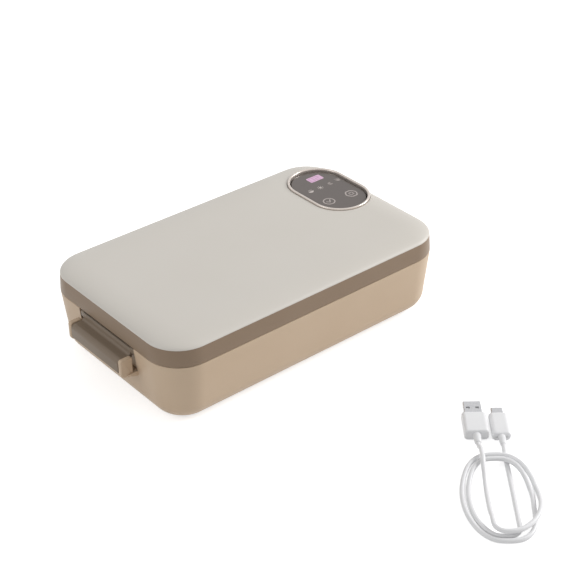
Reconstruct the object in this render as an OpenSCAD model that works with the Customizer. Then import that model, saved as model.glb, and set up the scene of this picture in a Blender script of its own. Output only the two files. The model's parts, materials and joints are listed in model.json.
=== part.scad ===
// Electric lunch box with a hinged lid, a steel food tray and a charging cable.
// The base stands on four feet at z = 0. +X points to the hinge, +Z up.

/* [Box] */
// Length over the parting line between base and lid
box_l = 241.6; // [220:0.2:270]
// Width over the parting line
box_w = 149.2; // [135:0.2:170]
// Corner radius in plan
corner_r = 26.6; // [24:0.2:32]
// Height of the parting line above the table
base_h = 48.4; // [46:0.1:54]
// Wall thickness of the moulded shells
wall = 2.4; // [1.8:0.1:3]
// How much the base narrows on each side, from its rim to its bottom fillet
base_draft = 3.6; // [1:0.2:5]
// Fillet radius between the base's walls and its floor
base_fillet = 14; // [9:0.5:16]

/* [Feet and base screws] */
// Diameter of a rubber foot
foot_d = 14; // [11:0.5:16]
// How far a foot stands out of the floor
foot_h = 1.2; // [0.8:0.1:2]
// Depth of the pocket that a foot sits in
foot_pocket = 1; // [0.6:0.1:1.2]
// Distance from the well's corner edges in to the screw and foot centres
post_inset = 10; // [9:0.5:12]
// Shank diameter of a base screw
screw_d = 2.9; // [2:0.1:3.2]
// Length of a base screw's shank
screw_l = 7; // [5:0.5:7.5]

/* [Lid] */
// Gap between the base's rim and the closed lid
lid_gap = 0.3; // [0.2:0.05:0.5]
// Height of the coloured band round the lid
band_h = 12.5; // [11.5:0.1:15]
// How much the band narrows on each side towards its top
band_draft = 0.8; // [0.3:0.1:1.2]
// Height of the crown of the lid's cover above the band
crown_h = 4.6; // [4:0.1:6]
// How far the crown's curve runs in from the edge
crown_run = 21; // [14:0.5:23]
// Thickness of the lid's cover
cover_t = 2.2; // [1.6:0.1:2.4]
// Width of the ledge inside the band that the inner cover bears on
ledge_w = 2.5; // [2:0.1:2.8]
// Thickness of the inner cover
inner_t = 2; // [1.8:0.1:2.4]
// Shank diameter of a lid screw
lid_screw_d = 2.2; // [1.8:0.1:2.6]

/* [Tray and well] */
// Distance from the parting line in to the steel tray's flange, at each end
tray_gap_l = 12.8; // [12.4:0.1:18]
// Distance from the parting line in to the steel tray's flange, at each side
tray_gap_w = 11.6; // [11.2:0.1:16]
// How far the tray's flange stands above the parting line
tray_rise = 4.3; // [4:0.1:4.8]
// Width of the tray's flat flange
flange_w = 5; // [4:0.2:6]
// Height of the collar under the flange
collar_h = 8; // [5:0.5:12]
// Step from the collar in to the tray's wall
step_in = 1.4; // [0.8:0.1:2]
// Draft of the tray's wall on each side
tray_draft = 2; // [1:0.2:4]
// Fillet radius at the tray's floor
tray_fillet = 6; // [4:0.5:8]
// Sheet thickness of the tray
steel_t = 0.8; // [0.5:0.1:1]
// Corner radius of the tray's flange
tray_r = 20; // [17:0.5:22]
// Clearance between the tray and the walls of its well
tray_clear = 0.8; // [0.5:0.1:1.5]
// Thickness of the well's wall
well_t = 2; // [1.6:0.1:2.4]

/* [Heater and battery] */
// Thickness of a battery cell
cell_t = 6.5; // [6:0.1:6.8]
// Distance from the well's long walls in to the battery cells
cell_side = 6.8; // [6:0.1:14]
// Number of battery cells side by side
cell_count = 3; // [2:1:3]
// Thickness of the insulating pad
pad_t = 2; // [1.5:0.1:2.4]
// Thickness of the steel plate that clamps the heater
clamp_t = 0.6; // [0.5:0.1:0.8]
// Thickness of the film heater
film_t = 1; // [0.6:0.1:1.2]
// Distance from the well's end walls in to the film heater
film_gap_l = 18.8; // [14:0.1:40]
// Distance from the well's long walls in to the film heater
film_gap_w = 14.8; // [13:0.1:26]
// Thickness of the aluminium heating plate
plate_t = 1.6; // [1.2:0.1:2]
// Width of the battery's board, along X
guard_w = 10; // [8:0.5:12]
// Length of the battery's board, along Y
guard_l = 88; // [70:1:94]
// Width of the main board, along X
main_w = 31.1; // [26:0.1:36]
// Length of the main board, along Y
main_l = 84; // [84:1:92]

/* [Display] */
// Distance of the display's centre from the hinge end of the box
pod_from_end = 25.4; // [25:0.1:34]
// Distance of the display's centre from the box's middle plane
pod_y = 22.5; // [10:0.5:26]
// Length of the display's ring, across the box
pod_l = 66; // [58:0.5:70]
// Width of the display's ring
pod_w = 43; // [36:0.5:44]
// Width of the ring's wall
ring_t = 2; // [1.6:0.1:2.6]
// How far the ring stands above the crown
ring_rise = 1.2; // [0.6:0.1:2]
// Depth of the dark panel below the ring's top
panel_drop = 2.8; // [2:0.1:3]
// Thickness of the panel
panel_t = 1.6; // [1.2:0.1:1.8]
// Gap round the panel
panel_gap = 0.8; // [0.4:0.1:1.2]

/* [Latch] */
// Width of the latch
latch_w = 55.6; // [44:0.4:60]
// Thickness of each ear that holds the latch's pin
ear_t = 3.4; // [2.6:0.2:5]
// Depth of the pocket behind the latch
pocket_d = 6; // [5.4:0.1:6.4]
// How far the latch and the hinge reach beyond the parting line
reach = 10.2; // [9.8:0.1:11]
// Height of the latch's front face
lip_h = 12; // [10:0.5:13]
// Wall thickness of the latch
latch_t = 2.2; // [1.8:0.1:2.4]
// Diameter of the latch's pin
latch_pin_d = 2.5; // [2:0.1:2.8]
// Gap between the latch's hook and the lid's catch
hook_clear = 0.3; // [0.2:0.05:0.5]

/* [Hinge] */
// Diameter of the hinge's barrel
barrel_d = 9; // [8:0.1:9.2]
// Diameter of the hinge pin
hinge_pin_d = 3; // [2.5:0.1:3.4]
// Width of a knuckle on the base
base_knuckle_w = 10; // [8:0.5:12]
// Width of the lid's middle knuckle
mid_knuckle_w = 23; // [16:0.5:26]
// Width of each outer knuckle on the lid
end_knuckle_w = 9.5; // [7:0.5:12]
// Gap between two knuckles
knuckle_gap = 0.4; // [0.3:0.05:0.6]

/* [Socket] */
// Distance of the charging socket from the box's middle, towards the hinge
socket_x = 70; // [50:1:80]
// Height of the charging socket's centre above the table
socket_z = 24; // [22:0.5:30]

/* [Cable] */
// Diameter of the cable
cord_d = 3.2; // [2.8:0.1:3.4]
// Width of the coil, over its turns
coil_w = 50; // [46:1:56]
// Length of the coil, over its turns
coil_l = 78; // [74:1:84]
// Gap between neighbouring turns
cord_gap = 0.8; // [0.8:0.05:1]
// Width of the USB-A plug's moulded body
plug_a_w = 16; // [14:0.2:16]
// Thickness of the USB-A plug's body
plug_a_h = 8; // [7:0.2:9]
// Length of the USB-A plug's body
plug_a_l = 20; // [18:0.5:26]
// Width of the USB-C plug's moulded body
plug_c_w = 12.4; // [11:0.2:13]
// Thickness of the USB-C plug's body
plug_c_h = 6.4; // [5.8:0.2:7]
// Length of the USB-C plug's body
plug_c_l = 22; // [18:0.5:26]

/* [Hidden] */
$fn = 48;

// Clearances
fit = 0.3;        // between two moulded parts
pin_fit = 0.04;   // round a pin or a screw, on the radius
cut = 1;          // how far a cutter runs past what it cuts
steps = 8;        // straight pieces in a quarter arc

// Heights, from the table up
floor_z = foot_h;
floor_top = floor_z + wall;
cradle_t = 1;
cell_z = floor_top + cradle_t;
pad_z = cell_z + cell_t + 0.4;
clamp_z = pad_z + pad_t;
film_z = clamp_z + clamp_t;
plate_z = film_z + film_t;
tray_z = plate_z + plate_t;
tray_top = base_h + tray_rise;
flange_t = 1.4;
well_top = tray_top - flange_t - fit;
deck_t = 2.4;
deck_z = base_h - deck_t - 0.4;
lid_z = base_h + lid_gap;
band_top = lid_z + band_h;
crown_top = band_top + crown_h;
seal_h = 3;
seal_z = tray_top + fit;
groove_d = 1.2;
inner_z = seal_z + seal_h - groove_d;
inner_top = inner_z + inner_t;
ledge_t = 1.6;
rib_t = 1.5;
ring_top = crown_top + ring_rise;
panel_top = ring_top - panel_drop;
panel_z = panel_top - panel_t;

// The tray, and the well that it stands in
tray_l = box_l - 2 * tray_gap_l;
tray_w = box_w - 2 * tray_gap_w;
well_l = tray_l - 2 * flange_w + 2 * tray_clear;
well_w = tray_w - 2 * flange_w + 2 * tray_clear;
well_r = tray_r - flange_w + tray_clear;
post_x = well_l / 2 - post_inset;
post_y = well_w / 2 - post_inset;
post_d = 8;
boss_h = 1.6;
boss_top = floor_top + boss_h;
head_z = floor_z + foot_pocket;
head_h = 1.6;
head_d = 5.6;
screw_slot = 0.6;

// Heater, and the hole in its middle for the thermostat and the probe
film_l = well_l - 2 * film_gap_l;
film_w = well_w - 2 * film_gap_w;
probe_hole = 24;
ring_mark = [30, 27, 0.3];
clamp_rim = 3;
strap_w = 16;
strap_gap = 4;
pad_gap = 4;

// Boards and battery under the well, from the latch end to the hinge end
post_gap = 2;
board_gap = 2;
cradle_gap = 1.5;
cells_x = -post_x + post_d / 2 + post_gap;
main_x = post_x - post_d / 2 - 1.5 - main_w;
guard_x = main_x - board_gap - guard_w;
cradle_l = guard_x - 1 - cells_x;
cell_w = (cradle_l - cradle_gap) / cell_count - cradle_gap;
cell_l = well_w - 2 * cell_side;
circuit_t = 1.6;
standoff_h = 1.4;
circuit_z = floor_top + standoff_h;
circuit_top = circuit_z + circuit_t;
plug_w = 6;
plug_x = main_x + main_w - 1 - plug_w / 2;
plug_end = main_l / 2 - 3;

// Seal, on the middle of the tray's flange
seal_w = 4.4;
seal_l = tray_l - flange_w;
seal_b = tray_w - flange_w;
seal_r = tray_r - flange_w / 2;
dish_in = 12;
dish_r = 7.5;
dish_d = 0.5;

// Display
pod_x = box_l / 2 - pod_from_end;
ring_seat = band_top + 0.2;
carrier_l = pod_l - 2 * ring_t - 0.2;
carrier_w = pod_w - 2 * ring_t - 0.2;
carrier_t = 1.2;
carrier_rim = 1.4;
carrier_z = inner_top + 0.6;
board_z = carrier_z + carrier_t;
board_t = 1.2;
board_top = board_z + board_t;
board_l = carrier_l - 2 * (panel_gap + carrier_rim + fit);
board_w = carrier_w - 2 * (panel_gap + carrier_rim + fit);
collar_t = 1.6;
seat_z = panel_z - 2.2;
digit = [12, 7];
digit_x = 4.6;
digit_y = board_l / 2 - 7.8;
lamp_pitch = 8.7;
lamp_x = -10.6;
lamp_y = digit_y - 11.4;
key_x = 10;
key_y = 16.9 - board_l / 2;

// Latch, on the left end
latch_x = -box_l / 2 - reach;
pocket_w = latch_w + 2 * (ear_t + fit) + 1.2;
pocket_x = -box_l / 2 + pocket_d;
ear_in = latch_w / 2 + fit;
ear_top = base_h - 4;
lip_top = base_h - 4.9;
lip_z = lip_top - lip_h;
finger_room = 4.5;
pocket_z = lip_z - finger_room;
pivot_x = -box_l / 2 - 3.8;
pivot_z = lip_z + 3.4;
pivot_d = 6.4;
hook_top = base_h - 1.2;
plate_x = -box_l / 2 + 0.2;
blade_t = 1.8;
blade_in = plate_x + blade_t;
nose_out = 1.1;
nose_z = base_h - 7.6;
nose_h = 1.8;
catch_tip = blade_in + hook_clear;
catch_x = blade_in + nose_out + hook_clear;
catch_t = 2;
catch_top = nose_z - hook_clear;
catch_side = 6;
catch_w = latch_w - 2 * catch_side;

// Hinge, on the right end
hinge_x = box_l / 2 + reach - barrel_d / 2;
hinge_z = base_h - barrel_d / 2 - 0.2;
base_knuckle_y = mid_knuckle_w / 2 + knuckle_gap + base_knuckle_w / 2;
end_knuckle_y = mid_knuckle_w / 2 + 2 * knuckle_gap + base_knuckle_w + end_knuckle_w / 2;
hinge_pin_l = 2 * end_knuckle_y + end_knuckle_w - 2;

// Contacts between the base and the lid
contact_x = (seal_l + seal_w) / 4 + (box_l / 2 - wall) / 2;
contact_pitch = 6;
contact_count = 4;
contact_d = 2;
contact_row = contact_count * contact_pitch;
block_w = 5.2;
block_h = 2.6;
pad_h = 0.5;

// Outside of the long wall at the charging socket's height
socket_y = box_w / 2 - base_draft * (base_h - socket_z) / (base_h - floor_z - base_fillet);
socket_in = 1.2;
port = [8.9, 3.2, 6.8];
mouth = [9.6, 3.8];
finger_dip = [13, 7, 1];
charge_w = 16;
shelf_t = 2;
charge_back = socket_y - socket_in - port[2] - 0.6;
charge_front = socket_y - wall - 3 * fit;
charge_z = socket_z - 3.4;

// Lid screws, at the corners and in the middle of the long sides
boss_d = 5.2;
corner_k = corner_r - wall - ledge_w - boss_d / 2 - 0.6;
lid_boss_x = box_l / 2 - corner_r + corner_k * cos(45);
lid_boss_y = box_w / 2 - corner_r + corner_k * sin(45);
lid_side_y = box_w / 2 - wall - ledge_w - boss_d / 2;
boss_short = 1.6;
lid_screw_grip = 3.4;
lid_head_h = 1;
LID_BOSSES = [[lid_boss_x, lid_boss_y], [lid_boss_x, -lid_boss_y], [-lid_boss_x, lid_boss_y],
    [-lid_boss_x, -lid_boss_y], [0, lid_side_y], [0, -lid_side_y]];

// ---------- outlines ----------

// Points on an arc round [x, y], from angle a to angle b
function arc(x, y, r, a, b, n = steps) =
    [for (i = [0:n]) [x + r * cos(a + (b - a) * i / n), y + r * sin(a + (b - a) * i / n)]];

// The base's outside, as [inset, height] from the floor up; skin moves it inwards
function base_edge(skin, top) = concat(
    [for (i = [0:steps]) [base_draft + skin + (base_fillet - skin) * (1 - sin(90 * i / steps)),
        floor_z + skin + (base_fillet - skin) * (1 - cos(90 * i / steps))]],
    [[skin, base_h]], top > base_h ? [[skin, top]] : []);

// The crown's outside, as [inset, height] from the band up
function crown_edge(inset, z, run, rise) =
    [for (i = [0:steps]) [inset + run * (1 - cos(90 * i / steps)), z + rise * sin(90 * i / steps)]];

// ---------- solids that repeat ----------

// A block with rounded corners, whose edge follows edge = [[inset, height], ...]
module block(l, w, r, edge) {
    last = edge[len(edge) - 1][1];
    section = concat([[0, edge[0][1]]], [for (p = edge) [r - p[0], p[1]]], [[0, last]]);
    for (k = [0:3]) {
        a = (k % 2 == 0 ? l : w) / 2 - r;
        b = (k % 2 == 0 ? w : l) / 2 - r;
        rotate([0, 0, 90 * k]) {
            translate([a, b, 0]) rotate_extrude(angle = 90) polygon(section);
            translate([a, 0, 0]) rotate([90, 0, 0]) linear_extrude(2 * b, center = true) polygon(section);
        }
    }
    translate([r - l / 2, r - w / 2, edge[0][1]]) cube([l - 2 * r, w - 2 * r, last - edge[0][1]]);
}

// A flat slab with rounded corners between heights z0 and z1
module slab(l, w, r, z0, z1) {
    block(l, w, r, [[0, z0], [0, z1]]);
}

// An upright slot shape, long along Y
module stadium(l, w, z0, z1) {
    for (s = [0, 180]) rotate([0, 0, s]) translate([0, l / 2 - w / 2, z0])
        rotate_extrude(angle = 180) square([w / 2, z1 - z0]);
    translate([-w / 2, w / 2 - l / 2, z0]) cube([w, l - w, z1 - z0]);
}

// A bar along Y whose section is drawn in X and Z
module bar(y0, y1) {
    translate([0, y1, 0]) rotate([90, 0, 0]) linear_extrude(y1 - y0) children();
}

// A round bar along Y
module rod(x, z, d, y0, y1) {
    translate([x, y1, z]) rotate([90, 0, 0]) cylinder(d = d, h = y1 - y0);
}

// A box between two corners
module box(a, b) {
    translate(a) cube(b - a);
}

// A package l by w by h that stands on a board, centred on [x, y]
module chip(x, y, z, l, w, h) {
    translate([x - l / 2, y - w / 2, z]) cube([l, w, h]);
}

// A smooth step from 0 to 1
function ease(x) = let (c = min(1, max(0, x))) c * c * (3 - 2 * c);

// A curve through the points, n steps between two of them, and straight at both ends
function curve(p, n) = let (m = len(p) - 1) concat(
    [for (i = [0:m - 1], k = [0:(i == 0 || i == m - 1 ? 0 : n - 1)]) let (
            t = k / n,
            before = i == 0 ? 2 * p[0] - p[1] : p[i - 1],
            after = i == m - 1 ? 2 * p[m] - p[m - 1] : p[i + 2])
        (2 * p[i] + t * (p[i + 1] - before) + t * t * (2 * before - 5 * p[i] + 4 * p[i + 1] - after)
            + t * t * t * (3 * p[i] - before - 3 * p[i + 1] + after)) / 2],
    [p[m]]);

// The tube's direction at point i
function heading(p, i) = let (d = p[min(i + 1, len(p) - 1)] - p[max(i - 1, 0)]) d / norm(d);

// A tube of diameter d along a path; up is a direction that the path never takes
module tube(p, d, sides, up = [0, 0, 1]) {
    rings = len(p);
    points = [for (i = [0:rings - 1]) let (
            h = heading(p, i),
            across = cross(h, up) / norm(cross(h, up)),
            rise = cross(across, h))
        for (k = [0:sides - 1]) let (a = 360 * (k + 0.5) / sides)
            p[i] + d / 2 * (cos(a) * across + sin(a) * rise)];
    faces = concat(
        [[for (k = [0:sides - 1]) k]],
        [for (i = [0:rings - 2], k = [0:sides - 1]) let (n = (k + 1) % sides)
            [i * sides + k, (i + 1) * sides + k, (i + 1) * sides + n, i * sides + n]],
        [[for (k = [sides - 1:-1:0]) (rings - 1) * sides + k]]);
    polyhedron(points, faces);
}

module at_posts() {
    for (x = [-post_x, post_x], y = [-post_y, post_y]) translate([x, y, 0]) children();
}

module at_lid_bosses() {
    for (p = LID_BOSSES) translate([p[0], p[1], 0]) children();
}

module at_contacts() {
    for (i = [0:contact_count - 1])
        translate([contact_x, (i - (contact_count - 1) / 2) * contact_pitch, 0]) children();
}

// ---------- base ----------

// One ear beside the latch, as seen along Y
module ear_section() {
    r = 5;
    polygon(concat([[pocket_x, pocket_z - 1], [latch_x + 3, pocket_z - 1]],
        arc(latch_x + 3, pocket_z + 2, 3, 270, 180, 4),
        arc(latch_x + r, ear_top - r, r, 180, 90),
        [[pocket_x, ear_top]]));
}

module base_shell() {
    color([0.76, 0.69, 0.61]) difference() {
        union() {
            difference() {
                block(box_l, box_w, corner_r, base_edge(0, base_h));
                block(box_l, box_w, corner_r, base_edge(wall, base_h + cut));
            }
            // wall of the pocket behind the latch
            box([-box_l / 2 + wall / 2, -pocket_w / 2 - wall, pocket_z - wall],
                [pocket_x + wall, pocket_w / 2 + wall, base_h - 0.4]);
            at_posts() translate([0, 0, floor_top]) cylinder(d = post_d + 1, h = boss_top - floor_top);
            // shelf for the charging board
            box([socket_x - charge_w / 2 - 1, charge_back + 0.4, charge_z - shelf_t],
                [socket_x + charge_w / 2 + 1, socket_y - wall / 2, charge_z]);
            // knuckles of the hinge
            for (s = [-1, 1]) {
                rod(hinge_x, hinge_z, barrel_d, s * base_knuckle_y - base_knuckle_w / 2,
                    s * base_knuckle_y + base_knuckle_w / 2);
                bar(s * base_knuckle_y - base_knuckle_w / 2, s * base_knuckle_y + base_knuckle_w / 2)
                    polygon([[box_l / 2 - wall, hinge_z + barrel_d / 4], [hinge_x, hinge_z + barrel_d / 4],
                        [hinge_x, hinge_z - barrel_d / 2], [box_l / 2 - wall, hinge_z - barrel_d]]);
            }
        }
        // pocket behind the latch, open at the top
        box([-box_l / 2 - cut, -pocket_w / 2, pocket_z], [pocket_x, pocket_w / 2, base_h + cut]);
        // foot pockets, screw heads and screw holes
        at_posts() {
            translate([0, 0, floor_z - cut]) cylinder(d = foot_d + 0.2, h = foot_pocket + cut);
            translate([0, 0, head_z - cut]) cylinder(d = head_d + 0.6, h = head_h + cut);
            translate([0, 0, floor_z]) cylinder(d = screw_d + 2 * pin_fit, h = boss_top);
        }
        // mouth of the charging socket, with its finger recess
        translate([socket_x, socket_y, socket_z]) rotate([90, 90, 0]) {
            stadium(mouth[0], mouth[1], -cut, wall + cut);
            stadium(finger_dip[0], finger_dip[1], -3 * cut, finger_dip[2]);
        }
        rod(hinge_x, hinge_z, hinge_pin_d + 2 * pin_fit, -box_w / 4, box_w / 4);
    }
    // ears that hold the latch's pin
    color([0.76, 0.69, 0.61]) difference() {
        for (s = [-1, 1]) bar(s * (ear_in + ear_t / 2) - ear_t / 2, s * (ear_in + ear_t / 2) + ear_t / 2)
            ear_section();
        rod(pivot_x, pivot_z, latch_pin_d + 2 * pin_fit, -pocket_w / 2, pocket_w / 2);
    }
}

module rubber_feet() {
    color([0.35, 0.33, 0.31]) at_posts() cylinder(d = foot_d, h = foot_h + foot_pocket);
}

module base_screws() {
    color([0.7, 0.7, 0.72]) at_posts() difference() {
        union() {
            translate([0, 0, head_z]) cylinder(d = head_d, h = head_h);
            translate([0, 0, head_z]) cylinder(d = screw_d, h = head_h + screw_l);
        }
        for (a = [0, 90]) rotate([0, 0, a]) box([-1.5, -screw_slot / 2, head_z - cut],
            [1.5, screw_slot / 2, head_z + head_h / 2]);
    }
}

// Frame that lines the base: deck, walls of the well and a ledge for the heating plate
module well_frame() {
    ledge = 3;
    inset = wall + 2 * fit;
    color([0.87, 0.84, 0.8]) difference() {
        union() {
            slab(box_l - 2 * inset, box_w - 2 * inset, corner_r - inset, deck_z, deck_z + deck_t);
            slab(well_l + 2 * well_t, well_w + 2 * well_t, well_r + well_t, plate_z - ledge_t, well_top);
            at_posts() translate([0, 0, boss_top]) cylinder(d = post_d, h = plate_z - boss_top);
        }
        difference() {
            slab(well_l, well_w, well_r, plate_z - ledge_t - cut, well_top + cut);
            difference() {
                slab(well_l + 1, well_w + 1, well_r + 0.5, plate_z - ledge_t, plate_z);
                slab(well_l - 2 * ledge, well_w - 2 * ledge, well_r - ledge, plate_z - ledge_t - cut,
                    plate_z + cut);
            }
            // posts, each on a pad that joins the ledge
            at_posts() {
                translate([0, 0, boss_top]) cylinder(d = post_d, h = plate_z - boss_top);
                translate([0, 0, plate_z - ledge_t])
                    cylinder(r = post_inset - ledge + 1.5, h = ledge_t);
            }
        }
        // room for the latch pocket
        box([-box_l, -pocket_w / 2 - wall - fit, deck_z - cut],
            [pocket_x + wall + fit, pocket_w / 2 + wall + fit, deck_z + deck_t + cut]);
        at_posts() translate([0, 0, boss_top - cut]) cylinder(d = screw_d + 2 * pin_fit, h = screw_l + cut);
        // hole for the leads of the contact block
        box([contact_x - 1.5, -contact_row / 6, deck_z - cut],
            [contact_x + 1.5, contact_row / 6, deck_z + deck_t + cut]);
    }
}

module heating_plate() {
    color([0.78, 0.79, 0.8]) difference() {
        slab(well_l - 2 * fit, well_w - 2 * fit, well_r - fit, plate_z, plate_z + plate_t);
        // shallow ring pressed round the probe's spot
        translate([0, 0, plate_z + plate_t - ring_mark[2]]) difference() {
            cylinder(d = ring_mark[0], h = cut);
            translate([0, 0, -cut]) cylinder(d = ring_mark[1], h = 3 * cut);
        }
    }
}

module heater_film() {
    color([0.72, 0.36, 0.2]) difference() {
        slab(film_l, film_w, 6, film_z, film_z + film_t);
        translate([0, 0, film_z - cut]) cylinder(d = probe_hole, h = film_t + 2 * cut);
    }
}

module heater_clamp() {
    window_d = 20;
    color([0.66, 0.67, 0.69]) difference() {
        union() {
            slab(film_l + 2 * clamp_rim, film_w + 2 * clamp_rim, 8, clamp_z, clamp_z + clamp_t);
            for (x = [-1, 1]) chip(x * film_l / 4, 0, clamp_z, strap_w, well_w - 2 * strap_gap, clamp_t);
        }
        translate([0, 0, clamp_z - cut]) cylinder(d = probe_hole, h = clamp_t + 2 * cut);
        for (x = [-1, 1], y = [-1, 1])
            translate([x * (film_l / 2 - 2 * window_d), y * film_w / 4, clamp_z - cut])
                cylinder(d = window_d, h = clamp_t + 2 * cut);
    }
}

module insulation_pad() {
    color([0.9, 0.88, 0.83]) difference() {
        slab(-2 * cells_x, well_w - 2 * pad_gap, 6, pad_z, pad_z + pad_t);
        translate([0, 0, pad_z - cut]) cylinder(d = probe_hole, h = pad_t + 2 * cut);
    }
}

// Bimetal cut-out, held against the heating plate, with its two terminals
module thermostat() {
    can = [10, 3.5];
    color([0.2, 0.2, 0.22]) translate([-5, 0, plate_z]) {
        translate([0, 0, -can[1]]) cylinder(d = can[0], h = can[1]);
        for (s = [-1, 1]) chip(0, s * (can[0] / 2 + 1.2), -3, 2, 3.2, 0.5);
    }
}

module temperature_probe() {
    color([0.85, 0.86, 0.88]) translate([6, 0, plate_z]) {
        translate([0, 0, -2.4]) cylinder(d = 6, h = 2.4);
        translate([0, 0, -3.4]) cylinder(d = 3, h = 1.2);
    }
}

module at_cells() {
    for (i = [0:cell_count - 1])
        translate([cells_x + cradle_gap + i * (cell_w + cradle_gap), -cell_l / 2, cell_z]) children();
}

module battery_cradle() {
    color([0.25, 0.25, 0.27]) difference() {
        box([cells_x, -cell_l / 2 - cradle_gap, floor_top],
            [cells_x + cradle_l, cell_l / 2 + cradle_gap, cell_z + cell_t - 1.5]);
        at_cells() cube([cell_w, cell_l, cell_t]);
    }
}

module battery_cells() {
    color([0.45, 0.52, 0.62]) at_cells() translate([fit, fit, 0])
        cube([cell_w - 2 * fit, cell_l - 2 * fit, cell_t]);
}

module battery_board() {
    middle = guard_x + guard_w / 2;
    color([0.13, 0.38, 0.24]) {
        chip(middle, 0, circuit_z, guard_w, guard_l, circuit_t);
        for (s = [-1, 1]) translate([middle, s * (guard_l / 2 - 4), floor_top]) cylinder(d = 4, h = standoff_h);
        for (i = [-2:2]) chip(middle, i * (guard_l - 28) / 4, circuit_top, 6, 6, 1.2);
    }
}

// Places the main board's four standoffs
module at_standoffs() {
    for (x = [3, main_w - 3], s = [-1, 1]) translate([main_x + x, s * (main_l / 2 - 4), floor_top]) children();
}

module main_board() {
    color([0.1, 0.33, 0.22]) difference() {
        union() {
            chip(main_x + main_w / 2, 0, circuit_z, main_w, main_l, circuit_t);
            at_standoffs() cylinder(d = 4.4, h = standoff_h);
        }
        at_standoffs() translate([0, 0, -cut]) cylinder(d = 2, h = standoff_h + circuit_t + 2 * cut);
    }
}

// Inductor, controller, transistors, capacitors and two connectors
module board_parts() {
    x = main_x + 9.5;
    color([0.2, 0.2, 0.22]) {
        chip(x + 1.5, 15, circuit_top, 10, 10, 3.8);
        chip(x, -8.5, circuit_top, 7, 7, 1);
        for (i = [0:2]) chip(x, -18 - 8 * i, circuit_top, 5, 6, 2.2);
        for (i = [0:1]) translate([x - 1.5, 26 + 6 * i, circuit_top]) cylinder(d = 5, h = 3.8);
        for (y = [0, plug_end - plug_w / 2]) chip(plug_x, y, circuit_top, plug_w, plug_w, 3.2);
    }
}

module charge_board() {
    color([0.1, 0.33, 0.22]) box([socket_x - charge_w / 2, charge_back, charge_z],
        [socket_x + charge_w / 2, charge_front, charge_z + circuit_t]);
}

module charge_socket() {
    sheet = 0.3;
    color([0.8, 0.8, 0.82]) translate([socket_x, socket_y - socket_in, socket_z]) rotate([90, 90, 0]) {
        difference() {
            stadium(port[0], port[1], 0, port[2]);
            stadium(port[0] - 2 * sheet, port[1] - 2 * sheet, -cut, port[2] - 0.8);
        }
        // tongue
        box([-0.35, -3.2, 1.2], [0.35, 3.2, port[2] - 0.4]);
    }
    // feet that solder it to its board
    color([0.8, 0.8, 0.82]) for (s = [-1, 1]) box([socket_x + s * 3.2 - 0.4, socket_y - socket_in - port[2],
        charge_z + circuit_t], [socket_x + s * 3.2 + 0.4, charge_front, socket_z - 1]);
}

module contact_block() {
    top = deck_z + deck_t;
    color([0.15, 0.15, 0.16]) difference() {
        chip(contact_x, 0, top, block_w, contact_row + 1, block_h);
        at_contacts() translate([0, 0, top - cut]) cylinder(d = contact_d + 2 * pin_fit, h = block_h + 2 * cut);
    }
}

module contact_pins() {
    top = deck_z + deck_t;
    tip = inner_z - pad_h - lid_gap;
    color([0.85, 0.68, 0.3]) at_contacts() {
        translate([0, 0, top]) cylinder(d = contact_d, h = block_h);
        translate([0, 0, top + block_h]) cylinder(d = 1.4, h = tip - top - block_h);
    }
}

// Leads from the battery's board to the main board
module power_leads() {
    lead_d = 1.4;
    z = circuit_top + lead_d / 2;
    color([0.75, 0.15, 0.12]) for (s = [-1, 1], in = [8, 11]) let (y = s * (main_l / 2 - in))
        tube([[main_x - board_gap - 1.4, y, z], [main_x - board_gap / 2, y, z + 0.6], [main_x + 1.4, y, z]],
            lead_d, 6);
}

module signal_leads() {
    lead_d = 1.2;
    z = circuit_top + 1.6;
    plug_out = plug_x + plug_w / 2;
    far_x = well_l / 2 + well_t + 2;
    side_y = well_w / 2 + well_t + 1.2;
    start_z = charge_z + circuit_t / 2;
    color([0.2, 0.2, 0.22]) {
        // from the main board up to the contact block
        for (y = [-1, 1]) tube(curve([[plug_out, y, z], [post_x + 2, y, z], [far_x - 1, y, z + 2.6],
            [far_x, y, plate_z + 6], [contact_x - 1, y, deck_z - 10], [contact_x, y, deck_z - 3],
            [contact_x, y, deck_z + deck_t]], 2), lead_d, 6, [0, 1, 0]);
        // and from the charging board down beside the well
        for (x = [-1, 1]) tube(curve([[socket_x + x, charge_back, start_z], [socket_x + x, side_y + 0.4, start_z],
            [socket_x + x, side_y, plate_z - 2], [socket_x + x, side_y - 3, pad_z - 3],
            [socket_x + x + 4, plug_end + 13, z + 1], [plug_x + x, plug_end + 3, z], [plug_x + x, plug_end, z]], 2),
            lead_d, 6, [1, 0, 0]);
    }
}

module hinge_pin() {
    color([0.75, 0.76, 0.78]) rod(hinge_x, hinge_z, hinge_pin_d, -hinge_pin_l / 2, hinge_pin_l / 2);
}

module latch_pin() {
    l = 2 * (ear_in + ear_t) - 0.6;
    color([0.75, 0.76, 0.78]) rod(pivot_x, pivot_z, latch_pin_d, -l / 2, l / 2);
}

// ---------- tray ----------

// The tray's wall under the flange, as [inset, height]; skin moves it inwards
function tray_edge(skin, top) = let (
        low = flange_w + step_in + tray_draft + skin,
        r = tray_fillet - skin,
        shoulder = tray_top - collar_h)
    concat([for (i = [0:steps]) [low + r * (1 - sin(90 * i / steps)), tray_z + skin + r * (1 - cos(90 * i / steps))]],
        [[flange_w + step_in + skin, shoulder - 2 + skin / 2], [flange_w + skin, shoulder + skin / 2],
        [flange_w + skin, top]]);

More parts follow.
